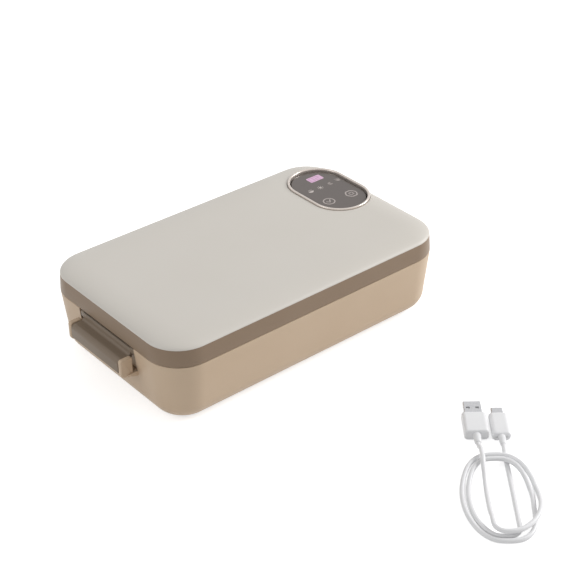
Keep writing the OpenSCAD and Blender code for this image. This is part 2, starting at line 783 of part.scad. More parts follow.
module food_tray() {
    color([0.75, 0.74, 0.72]) {
        difference() {
            union() {
                block(tray_l, tray_w, tray_r, tray_edge(0, tray_top));
                // flange with its edge turned down
                slab(tray_l, tray_w, tray_r, tray_top - flange_t, tray_top);
            }
            block(tray_l, tray_w, tray_r, tray_edge(steel_t, tray_top + cut));
            difference() {
                slab(tray_l - 2 * steel_t, tray_w - 2 * steel_t, tray_r - steel_t,
                    tray_top - flange_t - cut, tray_top - steel_t);
                slab(tray_l - 2 * flange_w, tray_w - 2 * flange_w, tray_r - flange_w,
                    tray_top - flange_t - 2 * cut, tray_top);
            }
        }
    }
}

// ---------- lid ----------

// The pod's place on the lid
module at_pod() {
    translate([pod_x, pod_y, 0]) children();
}

module lid_cover() {
    inset = band_draft + wall + fit;
    rib_z = inner_top + ledge_t + fit;
    color([0.82, 0.8, 0.77]) difference() {
        union() {
            difference() {
                block(box_l, box_w, corner_r, crown_edge(band_draft, band_top, crown_run, crown_h));
                block(box_l, box_w, corner_r, crown_edge(band_draft + cover_t, band_top - 0.01,
                    crown_run - cover_t / 2, crown_h - cover_t + 0.01));
            }
            // rib that centres the cover in the band
            difference() {
                slab(box_l - 2 * inset, box_w - 2 * inset, corner_r - inset, rib_z, band_top + 0.6);
                slab(box_l - 2 * (inset + rib_t), box_w - 2 * (inset + rib_t), corner_r - inset - rib_t,
                    rib_z - cut, band_top + cut);
            }
            at_lid_bosses() translate([0, 0, inner_top])
                cylinder(d = boss_d, h = crown_top - cover_t / 2 - boss_short - inner_top);
            // seat round the opening for the display
            intersection() {
                at_pod() stadium(pod_l + 2 * collar_t, pod_w + 2 * collar_t, seat_z, crown_top - cover_t / 2);
                union() {
                    slab(box_l - 2 * inset, box_w - 2 * inset, corner_r - inset, seat_z, band_top + 0.01);
                    block(box_l, box_w, corner_r, crown_edge(band_draft, band_top, crown_run, crown_h));
                }
            }
        }
        at_pod() stadium(pod_l + 0.1, pod_w + 0.1, ring_seat - 0.05, crown_top + cut);
        at_pod() stadium(carrier_l + 0.3, carrier_w + 0.3, seat_z - cut, crown_top + cut);
        at_lid_bosses() translate([0, 0, inner_top - cut])
            cylinder(d = lid_screw_d + 2 * pin_fit, h = lid_screw_grip + cut + 0.6);
    }
}

// Brown band: the lid's frame, with its hinge knuckles and the catch for the latch
module lid_band() {
    color([0.53, 0.45, 0.38]) difference() {
        union() {
            difference() {
                block(box_l, box_w, corner_r, [[0, lid_z], [band_draft, band_top]]);
                slab(box_l - 2 * wall, box_w - 2 * wall, corner_r - wall, lid_z - cut, inner_top);
                slab(box_l - 2 * (wall + ledge_w), box_w - 2 * (wall + ledge_w), corner_r - wall - ledge_w,
                    lid_z, inner_top + ledge_t + cut);
                block(box_l, box_w, corner_r, [[wall, inner_top + ledge_t],
                    [wall + band_draft, band_top + cut]]);
            }
            // catch behind the latch
            bar(-catch_w / 2, catch_w / 2) polygon([[-box_l / 2 + wall / 2, lid_z + 0.6], [catch_x, lid_z],
                [catch_x, catch_top], [catch_tip, catch_top - 0.3], [catch_tip, catch_top - 0.9],
                [catch_x, catch_top - 2.4], [catch_x + catch_t, catch_top - 2.4],
                [catch_x + catch_t, inner_z - 0.4], [-box_l / 2 + wall / 2, inner_z - 0.4]]);
            // arms and knuckles of the hinge
            for (y = [0, -end_knuckle_y, end_knuckle_y]) {
                w = y == 0 ? mid_knuckle_w : end_knuckle_w;
                rod(hinge_x, hinge_z, barrel_d, y - w / 2, y + w / 2);
                bar(y - w / 2, y + w / 2) polygon(concat(
                    [[box_l / 2 - wall / 2, lid_z], [box_l / 2 + 0.3, lid_z],
                    [hinge_x - barrel_d / 2, hinge_z], [hinge_x, hinge_z]],
                    arc(hinge_x, hinge_z, barrel_d / 2, 0, 40, 4),
                    [[box_l / 2 + 3.6, lid_z + 4], [box_l / 2 - 0.5, lid_z + 9],
                    [box_l / 2 - wall / 2, lid_z + 9]]));
            }
        }
        rod(hinge_x, hinge_z, hinge_pin_d + 2 * pin_fit, -hinge_pin_l, hinge_pin_l);
    }
}

// Plate under the lid, with the groove for the seal
module inner_cover() {
    inset = wall + fit;
    color([0.88, 0.87, 0.85]) difference() {
        union() {
            slab(box_l - 2 * inset, box_w - 2 * inset, corner_r - inset, inner_z, inner_top);
            // wall that the seal grips
            difference() {
                slab(seal_l - seal_w - 1, seal_b - seal_w - 1, seal_r - seal_w / 2 - 0.5, inner_z - 0.8,
                    inner_z);
                slab(seal_l - seal_w - 4, seal_b - seal_w - 4, seal_r - seal_w / 2 - 2, inner_z - 1 - cut,
                    inner_z + cut);
            }
        }
        difference() {
            slab(seal_l + seal_w, seal_b + seal_w, seal_r + seal_w / 2, inner_z - cut, inner_z + groove_d);
            slab(seal_l - seal_w, seal_b - seal_w, seal_r - seal_w / 2, inner_z - 2 * cut, inner_top);
        }
        // dished panel inside the seal
        slab(seal_l - seal_w - 2 * dish_in, seal_b - seal_w - 2 * dish_in, dish_r, inner_z - cut, inner_z + dish_d);
        at_lid_bosses() {
            translate([0, 0, inner_z - cut]) cylinder(d = lid_screw_d + 2 * pin_fit, h = inner_t + 2 * cut);
            translate([0, 0, inner_z - cut]) cylinder(d = 2 * lid_screw_d + fit, h = lid_head_h + cut);
        }
        at_contacts() translate([0, 0, inner_z - cut])
            cylinder(d = contact_d + 2 * pin_fit, h = inner_t + 2 * cut);
    }
}

module lid_seal() {
    color([0.93, 0.93, 0.91]) difference() {
        slab(seal_l + seal_w, seal_b + seal_w, seal_r + seal_w / 2, seal_z, seal_z + seal_h);
        slab(seal_l - seal_w, seal_b - seal_w, seal_r - seal_w / 2, seal_z - cut, seal_z + seal_h + cut);
        // split lip that squeezes onto the tray
        difference() {
            slab(seal_l + 0.7, seal_b + 0.7, seal_r + 0.35, seal_z - cut, seal_z + 1);
            slab(seal_l - 0.7, seal_b - 0.7, seal_r - 0.35, seal_z - 2 * cut, seal_z + 2);
        }
    }
}

module lid_screws() {
    color([0.7, 0.7, 0.72]) at_lid_bosses() difference() {
        union() {
            translate([0, 0, inner_z]) cylinder(d = 2 * lid_screw_d, h = lid_head_h);
            translate([0, 0, inner_z]) cylinder(d = lid_screw_d, h = inner_t + lid_screw_grip);
        }
        for (a = [0, 90]) rotate([0, 0, a]) box([-1.2, -0.25, inner_z - cut], [1.2, 0.25, inner_z + 0.6]);
    }
}

module display_ring() {
    color([0.85, 0.85, 0.86]) at_pod() difference() {
        stadium(pod_l, pod_w, ring_seat, ring_top);
        stadium(pod_l - 2 * ring_t, pod_w - 2 * ring_t, ring_seat - cut, ring_top + cut);
    }
}

module display_panel() {
    color([0.33, 0.29, 0.27]) at_pod()
        stadium(carrier_l - 2 * panel_gap, carrier_w - 2 * panel_gap, panel_z, panel_top);
}

// Cup that carries the panel and the control board
module display_carrier() {
    inset = band_draft + wall + rib_t + 2 * fit;
    color([0.12, 0.11, 0.11]) {
        difference() {
            union() {
                at_pod() stadium(carrier_l, carrier_w, carrier_z, panel_z);
                intersection() {
                    at_pod() stadium(pod_l + 2 * collar_t, pod_w + 2 * collar_t, seat_z - 1.4, seat_z);
                    slab(box_l - 2 * inset, box_w - 2 * inset, corner_r - inset, seat_z - 2, seat_z + 1);
                }
            }
            at_pod() stadium(carrier_l - 2 * panel_gap - 2 * carrier_rim,
                carrier_w - 2 * panel_gap - 2 * carrier_rim, board_z, panel_z + cut);
            // way out for the leads
            at_pod() box([-4, -pod_l, board_z - 0.01], [4, -carrier_l / 4, board_z + 1.8]);
        }
    }
}

module control_board() {
    color([0.1, 0.33, 0.22]) at_pod() {
        stadium(board_l, board_w, board_z, board_top);
        chip(0, key_y, board_top, 6, 6, 0.8);
    }
}

module digit_module() {
    color([0.9, 0.9, 0.92]) at_pod() chip(digit_x, digit_y, board_top, digit[0], digit[1], panel_z - board_top);
}

// Four lamps under the mode icons
module icon_leds() {
    color([0.95, 0.93, 0.85]) at_pod() for (i = [0:3])
        chip(lamp_x + i * lamp_pitch, lamp_y, board_top, 2, 2, 0.9);
}

// Conductive pillars from the board to the two touch keys
module touch_pillars() {
    color([0.3, 0.3, 0.32]) at_pod() for (x = [-key_x, key_x])
        translate([x, key_y, board_top]) cylinder(d = 5, h = panel_z - board_top);
}

module contact_pads() {
    color([0.85, 0.68, 0.3]) at_contacts() translate([0, 0, inner_z - pad_h]) {
        cylinder(d = 2 * contact_d, h = pad_h);
        cylinder(d = contact_d, h = inner_t + pad_h);
    }
}

// Flat flexible lead from the contact pads to the control board, through the carrier's notch
module lid_flex() {
    flex_t = 0.3;
    flex_w = 5;
    tail_w = 6;
    low_y = pod_y - pod_l / 2 - collar_t - 2;
    top = inner_top + flex_t;
    rise_z = board_z + 0.3;
    end_y = pod_y - board_l / 2;
    color([0.75, 0.5, 0.2]) {
        box([contact_x - flex_w / 2, low_y - 4, inner_top], [contact_x + flex_w / 2, contact_row / 2 - 2.4, top]);
        box([pod_x - tail_w / 2, low_y - 4, inner_top], [contact_x, low_y, top]);
        translate([pod_x - tail_w / 2, 0, 0]) rotate([90, 0, 90]) linear_extrude(tail_w) polygon([
            [low_y - 1, inner_top], [low_y, inner_top], [low_y + 3, rise_z], [end_y, rise_z],
            [end_y, rise_z + flex_t], [low_y + 2.8, rise_z + flex_t], [low_y - 0.2, top], [low_y - 1, top]]);
    }
}

// ---------- latch ----------

module latch() {
    r = 3;
    inner_r = 1;
    color([0.47, 0.42, 0.37]) difference() {
        union() {
            bar(-latch_w / 2, latch_w / 2) polygon(concat(
                arc(latch_x + r, lip_top - r, r, 180, 90),
                arc(plate_x - 2.6, lip_top + 2.6, 2.6, 270, 360),
                [[plate_x, hook_top - 0.8], [plate_x + 0.8, hook_top], [blade_in, hook_top],
                [blade_in, nose_z + nose_h + 1.2], [blade_in + nose_out, nose_z + nose_h],
                [blade_in + nose_out, nose_z], [blade_in, nose_z], [blade_in - 0.5, nose_z - 1.2]],
                [[blade_in - blade_t - 0.8, lip_top - latch_t], [latch_x + latch_t + inner_r, lip_top - latch_t],
                [latch_x + latch_t, lip_top - latch_t - inner_r], [latch_x + latch_t, lip_z + 0.6],
                [latch_x + latch_t - 0.6, lip_z], [latch_x + 1, lip_z], [latch_x, lip_z + 1]]));
            // barrel and its two webs
            rod(pivot_x, pivot_z, pivot_d, -latch_w / 2, latch_w / 2);
            for (y = [-latch_w / 2, -latch_w / 6 - 1, latch_w / 6 - 1, latch_w / 2 - 2]) bar(y, y + 2)
                polygon([[latch_x + 1, lip_z + 1.4], [pivot_x, pivot_z - pivot_d / 2 + 0.4],
                    [pivot_x + pivot_d / 2 - 0.4, pivot_z], [blade_in - 0.6, lip_top - 1], [latch_x + 1, lip_top - 1]]);
        }
        rod(pivot_x, pivot_z, latch_pin_d + 2 * pin_fit, -latch_w, latch_w);
    }
}

// ---------- charging cable, lying on the table ----------

// The cable's own frame: its middle on the table, and its turn about Z
coil_at = [-5, -252];
cord_turn = -39.3;
cord_r = cord_d / 2;
coil_pitch = cord_d + cord_gap;
lead_y = 8;
lead_end_a = 51;
lead_end_c = 50;
relief_l = 8;
relief_d = 5.4;
shell_a = [12, 4.5, 13.5];
shell_c = [8.3, 2.6, 7.6];
sheet_t = 0.4;

coil_b = (coil_l - cord_d) / 2 - coil_pitch;
near_y = -coil_b;
over = cord_r + coil_pitch;

// Free stretches, from the plug to the coil, in the cable's frame
LEAD_A = [[-8, 51, 4], [-8, 49, 4], [-8, 46, 5.2], [-8, 42, 8], [-8, 37, 9.6], [-8, 31, 9.6], [-8, 24, 7.2],
    [-8, 15, 3.6], [-8, 6, 1.8], [-8, -3, 1.6], [-8, -11, 2.4], [-8, -19, 4.6], [-8, -25, 5.6]];
LEAD_C = [[8, 50, 3.2], [8, 48, 3.2], [8, 44, 2.2], [8, 40, 1.7], [8, 34, 1.6], [8, 22, 1.6], [8, 10, 1.6],
    [8, -2, 1.6], [8, -14, 1.6], [8, -25, 1.6]];

// Height of the coil over the table at angle t: it lies over lead C on its far side, and its
// start lies over its own end on its near side
function coil_lift(t) = coil_pitch * (ease((sin(t) - 0.15) / 0.7) + 1 - ease((t + 25) / 45));

// How far out the coil runs at angle t, from 0 on the inner turn to 1 on the outer one
function coil_out(t) = t < 270 ? ease((t + 75) / 60) : 1 - ease((t - 300) / 50);

// The coil's middle line: an oval with a short straight at its near and far sides
function coil_point(t, side) = let (in = (1 - coil_out(t)) * coil_pitch)
    [side * cord_d + ((coil_w - cord_d) / 2 - in - cord_d) * cos(t),
    ((coil_l - cord_d) / 2 - in) * sin(t), cord_r + coil_lift(t)];

// Two turns, each in two halves
COIL = concat([[0, near_y, over]],
    [for (half = [0:3], k = [0:12]) coil_point(-90 + 180 * half + 15 * k, half % 2 == 0 ? 1 : -1)],
    [[0, near_y, cord_r]]);

function clear_of_table(p) = [for (q = p) [q[0], q[1], max(q[2], cord_r)]];

// The bend at a free stretch's near end, into the coil; side is -1 or 1
function bend(side, z) = concat([for (a = [15:15:90])
    [side * (0.8 + (lead_y - 0.8) * cos(a)), near_y + lead_y * (1 - sin(a)), z]], [[0, near_y, z]]);

PATH_A = clear_of_table(concat(curve(LEAD_A, 3), bend(-1, over)));
PATH_C = clear_of_table(concat(curve(LEAD_C, 3), bend(1, cord_r)));

// Points halfway along each step as well
function fine(p) = [for (i = [0:len(p) - 2], k = [0:3]) p[i] + (p[i + 1] - p[i]) * k / 4];
coil_fine = fine(COIL);
coil_gap = min([for (i = [0:len(coil_fine) - 1], j = [0:len(coil_fine) - 1])
    if (j - i > 24) norm(coil_fine[i] - coil_fine[j])]) - cord_d;
echo(coil_least_gap = coil_gap);

function total(v, i = 0) = i == len(v) ? 0 : v[i] + total(v, i + 1);
function run(p) = total([for (i = [0:len(p) - 2]) norm(p[i + 1] - p[i])]);
echo(cable_length = run(COIL) + run(PATH_A) + run(PATH_C));

module at_cable() {
    translate([coil_at[0], coil_at[1], 0]) rotate([0, 0, cord_turn]) children();
}

// Places a plug at the end of its lead, with Z along the lead
module at_plug(x, y, z) {
    at_cable() translate([x, y, z]) rotate([-90, 0, 0]) children();
}

// A rounded rectangle's outline
function round_rect(w, h, r) = concat(arc(w / 2 - r, h / 2 - r, r, 0, 90, 4),
    arc(r - w / 2, h / 2 - r, r, 90, 180, 4), arc(r - w / 2, r - h / 2, r, 180, 270, 4),
    arc(w / 2 - r, r - h / 2, r, 270, 360, 4));

module cable_coil() {
    color([0.93, 0.93, 0.94]) at_cable() tube(COIL, cord_d, 6);
}

module cable_lead_a() {
    color([0.93, 0.93, 0.94]) at_cable() tube(PATH_A, cord_d, 8);
}

module cable_lead_c() {
    color([0.93, 0.93, 0.94]) at_cable() tube(PATH_C, cord_d, 8);
}

module usb_a_body() {
    color([0.93, 0.93, 0.94]) at_plug(-lead_y, lead_end_a, plug_a_h / 2) {
        cylinder(d = relief_d, h = relief_l);
        translate([0, 0, relief_l]) linear_extrude(plug_a_l) polygon(round_rect(plug_a_w, plug_a_h, 2.4));
    }
}

module usb_a_shell() {
    w = shell_a[0];
    h = shell_a[1];
    color([0.75, 0.75, 0.77]) at_plug(-lead_y, lead_end_a + relief_l + plug_a_l, plug_a_h / 2) {
        difference() {
            translate([-w / 2, -h / 2, 0]) cube([w, h, shell_a[2]]);
            translate([sheet_t - w / 2, sheet_t - h / 2, sheet_t])
                cube([w - 2 * sheet_t, h - 2 * sheet_t, shell_a[2]]);
            for (x = [-1, 1]) translate([x * 3 - 1.2, -h, 5.4]) cube([2.4, 2 * h, 2.2]);
        }
        // tongue with the contacts
        translate([sheet_t - w / 2, sheet_t - h / 2 + 2, 0]) cube([w - 2 * sheet_t, 1.6, 11.6]);
    }
}

module usb_c_body() {
    color([0.93, 0.93, 0.94]) at_plug(lead_y, lead_end_c, plug_c_h / 2) {
        cylinder(d = relief_d - 0.4, h = relief_l);
        translate([0, 0, relief_l]) linear_extrude(plug_c_l) polygon(round_rect(plug_c_w, plug_c_h, 2.8));
    }
}

module usb_c_shell() {
    w = shell_c[0];
    h = shell_c[1];
    color([0.75, 0.75, 0.77]) at_plug(lead_y, lead_end_c + relief_l + plug_c_l, plug_c_h / 2) difference() {
        rotate([0, 0, 90]) stadium(w, h, 0, shell_c[2]);
        rotate([0, 0, 90]) stadium(w - 2 * sheet_t, h - 2 * sheet_t, 1, shell_c[2] + cut);
    }
}

base_shell();
rubber_feet();
base_screws();
well_frame();
heating_plate();
heater_film();
heater_clamp();
insulation_pad();
thermostat();
temperature_probe();
battery_cradle();
battery_cells();
battery_board();
main_board();
board_parts();
charge_board();
charge_socket();
contact_block();
contact_pins();
power_leads();
signal_leads();
hinge_pin();
latch_pin();
food_tray();
lid_cover();
lid_band();
inner_cover();
lid_seal();
lid_screws();
display_ring();
display_panel();
display_carrier();
control_board();
digit_module();
icon_leds();
touch_pillars();
contact_pads();
lid_flex();
latch();
cable_coil();
cable_lead_a();
cable_lead_c();
usb_a_shell();
usb_a_body();
usb_c_shell();
usb_c_body();
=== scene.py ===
# Electric lunch box: the looks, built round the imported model. Metres, +Z up, +X to the hinge.
import bpy
import json
import numpy as np
from mathutils import Matrix


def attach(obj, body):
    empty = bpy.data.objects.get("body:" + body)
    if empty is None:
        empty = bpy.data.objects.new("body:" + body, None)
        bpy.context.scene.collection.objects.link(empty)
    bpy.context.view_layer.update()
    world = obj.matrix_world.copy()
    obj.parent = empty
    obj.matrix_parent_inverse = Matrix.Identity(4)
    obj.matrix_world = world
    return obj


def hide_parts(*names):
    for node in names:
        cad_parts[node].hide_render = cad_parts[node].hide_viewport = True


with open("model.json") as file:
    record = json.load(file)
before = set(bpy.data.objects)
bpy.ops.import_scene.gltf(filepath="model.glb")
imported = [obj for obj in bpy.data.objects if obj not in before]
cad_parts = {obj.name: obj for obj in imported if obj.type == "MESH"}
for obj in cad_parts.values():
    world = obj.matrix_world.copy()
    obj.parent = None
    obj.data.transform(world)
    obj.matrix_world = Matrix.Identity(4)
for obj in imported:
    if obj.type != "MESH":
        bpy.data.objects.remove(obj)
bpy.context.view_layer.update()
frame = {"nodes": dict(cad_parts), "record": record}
nodes = frame["nodes"]
mm = 0.001
print("frame loaded:", len(nodes), "nodes")

cameraSettings = {
    "aim": (50.3, 17.9, 0.0),       # the point looked at, in mm
    "azimuth": -39.281,
    "elevation": 32.593,
    "roll": -0.7506,
    "distance": 1099.1,
    "focalPixels": 1465.34,         # for an image 576 pixels wide
    "imageWidth": 576,
    "sensor": 36.0,
}


# The camera stands at distance from aim, along the azimuth and elevation, and rolls about its own
# line of sight.
def makeCamera(c):
    az, el, roll = np.radians([c["azimuth"], c["elevation"], c["roll"]])
    back = np.array([np.sin(az) * np.cos(el), -np.cos(az) * np.cos(el), np.sin(el)])
    right = np.cross(-back, [0, 0, 1])
    right /= np.linalg.norm(right)
    up = np.cross(right, -back)
    across = right * np.cos(roll) + up * np.sin(roll)
    upward = up * np.cos(roll) - right * np.sin(roll)
    place = (np.array(c["aim"]) + back * c["distance"]) * mm
    data = bpy.data.cameras.new("camera")
    data.sensor_width = c["sensor"]
    data.lens = c["focalPixels"] * c["sensor"] / c["imageWidth"]
    data.clip_start = 0.01
    data.clip_end = 50
    camera = bpy.data.objects.new("camera", data)
    turn = Matrix(np.column_stack([across, upward, back]).tolist()).to_4x4()
    camera.matrix_world = Matrix.Translation(place.tolist()) @ turn
    bpy.context.scene.collection.objects.link(camera)
    bpy.context.scene.camera = camera


makeCamera(cameraSettings)
print("camera placed")


# Every face smooth, every edge over the angle sharp.
def smooth(mesh, sharpAngle):
    mesh.polygons.foreach_set("use_smooth", np.ones(len(mesh.polygons), bool))
    mesh.set_sharp_from_angle(angle=np.radians(sharpAngle))


# Points in mm; edges sharper than sharpAngle stay sharp, and the rest are smooth.
def meshObject(name, points, faces, material, sharpAngle=35.0):
    mesh = bpy.data.meshes.new(name)
    mesh.from_pydata((np.asarray(points, float) * mm).tolist(), [], faces)
    mesh.materials.append(material)
    smooth(mesh, sharpAngle)
    obj = bpy.data.objects.new(name, mesh)
    bpy.context.scene.collection.objects.link(obj)
    return obj


# Quads between rows of cols points, each row closed on itself; counter-clockwise rows that go up face
# outwards. With closeRows the last row also meets the first.
def gridFaces(rows, cols, closeRows=False):
    i, j = np.meshgrid(np.arange(rows if closeRows else rows - 1), np.arange(cols), indexing="ij")
    i2, j2 = (i + 1) % rows, (j + 1) % cols
    return np.stack([i * cols + j, i * cols + j2, i2 * cols + j2, i2 * cols + j], -1).reshape(-1, 4).tolist()


# n + 1 points on a circle, from start to end in degrees.
def arcRun(cx, cy, radius, start, end, n):
    a = np.radians(np.linspace(start, end, n + 1))
    return np.column_stack([cx + radius * np.cos(a), cy + radius * np.sin(a)])


# Gives ring(inset): a rounded rectangle, with two points on each straight close to the arcs.
def boxRing(length, width, corner, n=16, support=0.6):
    def ring(inset):
        radius = max(corner - inset, 0.3)
        halves = length / 2 - inset - radius, width / 2 - inset - radius
        points = []
        for k, (sx, sy) in enumerate([(1, 1), (-1, 1), (-1, -1), (1, -1)]):
            run = arcRun(sx * halves[0], sy * halves[1], radius, 90 * k, 90 * k + 90, n)
            a, b = np.radians([90 * k, 90 * k + 90])
            before = run[0] - support * np.array([-np.sin(a), np.cos(a)])
            after = run[-1] + support * np.array([-np.sin(b), np.cos(b)])
            points += [before, *run, after]
        return np.array(points)
    return ring


# Gives ring(inset): a slot with round ends, long along Y.
def slotRing(length, width, n=40):
    def ring(inset):
        radius = width / 2 - inset
        y = (length - width) / 2
        return np.concatenate([arcRun(0, y, radius, 0, 180, n), arcRun(0, -y, radius, 180, 360, n)])
    return ring


# Gives ring(inset): a circle.
def discRing(diameter, n=48):
    return lambda inset: arcRun(0, 0, diameter / 2 - inset, 0, 360 - 360 / n, n - 1)


# One ring for each [inset, height] of the profile. A closed one goes round a hole, another is capped.
def loft(name, ring, profile, material, closed=False, at=(0, 0)):
    rings = [np.column_stack([ring(i) + np.asarray(at), np.full(len(ring(i)), z)]) for i, z in profile]
    rows, cols = len(rings), len(rings[0])
    faces = gridFaces(rows, cols, closeRows=closed)
    if not closed:
        faces += [list(range(cols))[::-1], list(range((rows - 1) * cols, rows * cols))]
    return meshObject(name, np.concatenate(rings), faces, material)


# The outline with an arc at each corner, of that radius or less where a side is short.
def roundCorners(outline, radius, n=4):
    p = np.asarray(outline, float)
    radii = np.broadcast_to(radius, len(p))
    straight = np.radians(82)       # half of a corner's angle, over which it counts as no corner
    share = 0.48                    # the most of a side that one arc may take
    done = []
    for i in range(len(p)):
        a, b, c = p[i - 1], p[i], p[(i + 1) % len(p)]
        u, v = (a - b) / np.linalg.norm(a - b), (c - b) / np.linalg.norm(c - b)
        half = np.arccos(np.clip(u @ v, -1, 1)) / 2
        if half > straight or radii[i] == 0:
            done.append(b)
            continue
        cut = min(radii[i] / np.tan(half), share * np.linalg.norm(a - b), share * np.linalg.norm(c - b))
        middle = b + (u + v) / np.linalg.norm(u + v) * cut / np.cos(half)
        s, e = b + u * cut - middle, b + v * cut - middle
        sweep = np.arctan2(s[0] * e[1] - s[1] * e[0], s @ e)
        t = sweep * np.linspace(0, 1, n + 1)
        done += list(middle + np.column_stack([s[0] * np.cos(t) - s[1] * np.sin(t),
                                               s[0] * np.sin(t) + s[1] * np.cos(t)]))
    return np.array(done)


# The counter-clockwise outline, with each point moved in square to its two sides.
def inward(outline, distance):
    e1 = outline - np.roll(outline, 1, 0)
    e2 = np.roll(outline, -1, 0) - outline
    n1 = np.column_stack([-e1[:, 1], e1[:, 0]]) / np.linalg.norm(e1, axis=1)[:, None]
    n2 = np.column_stack([-e2[:, 1], e2[:, 0]]) / np.linalg.norm(e2, axis=1)[:, None]
    spread = np.maximum(1 + (n1 * n2).sum(1), 0.4)      # 0.4 keeps a pointed corner short
    return outline + distance * (n1 + n2) / spread[:, None]


# An outline in x and z, drawn out along w: (x, z, w) goes to (x, -w, z).
def alongY(p):
    return np.column_stack([p[:, 0], -p[:, 2], p[:, 1]])


# The outline drawn out from low to high, drawn in by a quarter circle of radius edge at both rims.
def prism(name, outline, low, high, edge, material, place=alongY, n=3):
    outline = np.asarray(outline, float)
    nextOne = np.roll(outline, -1, 0)
    if np.sum(outline[:, 0] * nextOne[:, 1] - outline[:, 1] * nextOne[:, 0]) < 0:
        outline = outline[::-1]
    a = np.radians(np.linspace(0, 90, n + 1))
    layers = [(edge * (1 - np.sin(t)), low + edge * (1 - np.cos(t))) for t in a]
    layers += [(edge * (1 - np.sin(t)), high - edge * (1 - np.cos(t))) for t in a[::-1]]
    rings = [np.column_stack([inward(outline, d), np.full(len(outline), w)]) for d, w in layers]
    rows, cols = len(rings), len(outline)
    faces = gridFaces(rows, cols)
    faces += [list(range(cols))[::-1], list(range((rows - 1) * cols, rows * cols))]
    return meshObject(name, place(np.concatenate(rings)), faces, material)


# A round tube: a circle square to the path, carried along it without twisting.
def tubeMesh(name, path, radius, material, sides=20):
    heading = np.gradient(path, axis=0)
    heading /= np.linalg.norm(heading, axis=1)[:, None]
    side = np.cross(heading[0], [0, 0, 1])
    rings = []
    a = np.linspace(0, 2 * np.pi, sides, endpoint=False)[:, None]
    for p, h in zip(path, heading):
        side = side - h * (side @ h)
        side /= np.linalg.norm(side)
        rings.append(p + radius * (np.cos(a) * side + np.sin(a) * np.cross(h, side)))
    faces = gridFaces(len(path), sides)
    faces += [list(range(sides))[::-1], list(range((len(path) - 1) * sides, len(path) * sides))]
    return meshObject(name, np.concatenate(rings), faces, material, 60.0)


# Every point of the mesh goes to place(point), in mm.
def moved(obj, place):
    points = np.empty(3 * len(obj.data.vertices), np.float32)
    obj.data.vertices.foreach_get("co", points)
    points = points.reshape(-1, 3).astype(float) / mm
    obj.data.vertices.foreach_set("co", (place(points) * mm).ravel())
    return obj


# Several new meshes as one object.
def joined(name, parts):
    bpy.ops.object.select_all(action="DESELECT")
    for p in parts:
        p.select_set(True)
    bpy.context.view_layer.objects.active = parts[0]
    if len(parts) > 1:
        bpy.ops.object.join()
    parts[0].name = name
    return parts[0]


# The object with the added solids, and then without the cutters. Both are removed.
def cutAway(obj, cutters, sharpAngle, added=()):
    for operation, others in (("UNION", added), ("DIFFERENCE", cutters)):
        for other in others:
            step = obj.modifiers.new("step", "BOOLEAN")
            step.operation = operation
            step.solver = "EXACT"
            step.object = other
    bpy.context.view_layer.update()
    mesh = bpy.data.meshes.new_from_object(obj.evaluated_get(bpy.context.evaluated_depsgraph_get()))
    obj.modifiers.clear()
    obj.data = mesh
    smooth(mesh, sharpAngle)
    for other in (*added, *cutters):
        bpy.data.objects.remove(other)
    return obj


# A welded copy of a CAD node, with its curved faces smooth.
def smoothCopy(node, material):
    mesh = nodes[node].data.copy()
    obj = bpy.data.objects.new(node + "Skin", mesh)
    bpy.context.scene.collection.objects.link(obj)
    weld = obj.modifiers.new("weld", "WELD")
    weld.merge_threshold = 0.002 * mm
    bpy.context.view_layer.update()
    welded = bpy.data.meshes.new_from_object(obj.evaluated_get(bpy.context.evaluated_depsgraph_get()))
    obj.modifiers.clear()
    obj.data = welded
    welded.materials.clear()
    welded.materials.append(material)
    smooth(welded, 32.0)
    return obj


# The piece rides on the body and stands for the CAD nodes, which are hidden.
def seat(obj, body, slot, *replaced):
    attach(obj, body)
    if replaced:
        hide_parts(*replaced)
    return obj


# An empty shader group with its sockets.
def newGroup(name, inputs, outputs):
    group = bpy.data.node_groups.new(name, "ShaderNodeTree")
    for label, kind, value in inputs:
        socket = group.interface.new_socket(name=label, in_out="INPUT", socket_type=kind)
        socket.default_value = value
    for label, kind in outputs:
        group.interface.new_socket(name=label, in_out="OUTPUT", socket_type=kind)
    return group, group.nodes.new("NodeGroupInput"), group.nodes.new("NodeGroupOutput")


# Noise at a point, 0 to 1.
def addNoise(group, coordinates, scale, detail, roughness=0.5):
    noise = group.nodes.new("ShaderNodeTexNoise")
    noise.inputs["Detail"].default_value = detail
    noise.inputs["Roughness"].default_value = roughness
    group.links.new(coordinates, noise.inputs["Vector"])
    if isinstance(scale, (int, float)):
        noise.inputs["Scale"].default_value = scale
    else:
        group.links.new(scale, noise.inputs["Scale"])
    return noise.outputs["Fac"]


# One Math node; a and b are numbers or sockets.
def addMath(group, operation, a, b):
    node = group.nodes.new("ShaderNodeMath")
    node.operation = operation
    for socket, value in zip(node.inputs, (a, b)):
        if isinstance(value, (int, float)):
            socket.default_value = value
        else:
            group.links.new(value, socket)
    return node.outputs[0]


# 0 where value is low or less, 1 where it is high or more, smooth between.
def addRange(group, value, low, high):
    node = group.nodes.new("ShaderNodeMapRange")
    node.interpolation_type = "SMOOTHSTEP"
    node.inputs["From Min"].default_value = low
    node.inputs["From Max"].default_value = high
    group.links.new(value, node.inputs["Value"])
    return node.outputs[0]


# a where factor is 0, b where it is 1.
def addMix(group, factor, a, b):
    node = group.nodes.new("ShaderNodeMix")
    node.data_type = "RGBA"
    group.links.new(factor, node.inputs["Factor"])
    group.links.new(a, node.inputs[6])          # the colour sockets A and B
    group.links.new(b, node.inputs[7])
    return node.outputs[2]


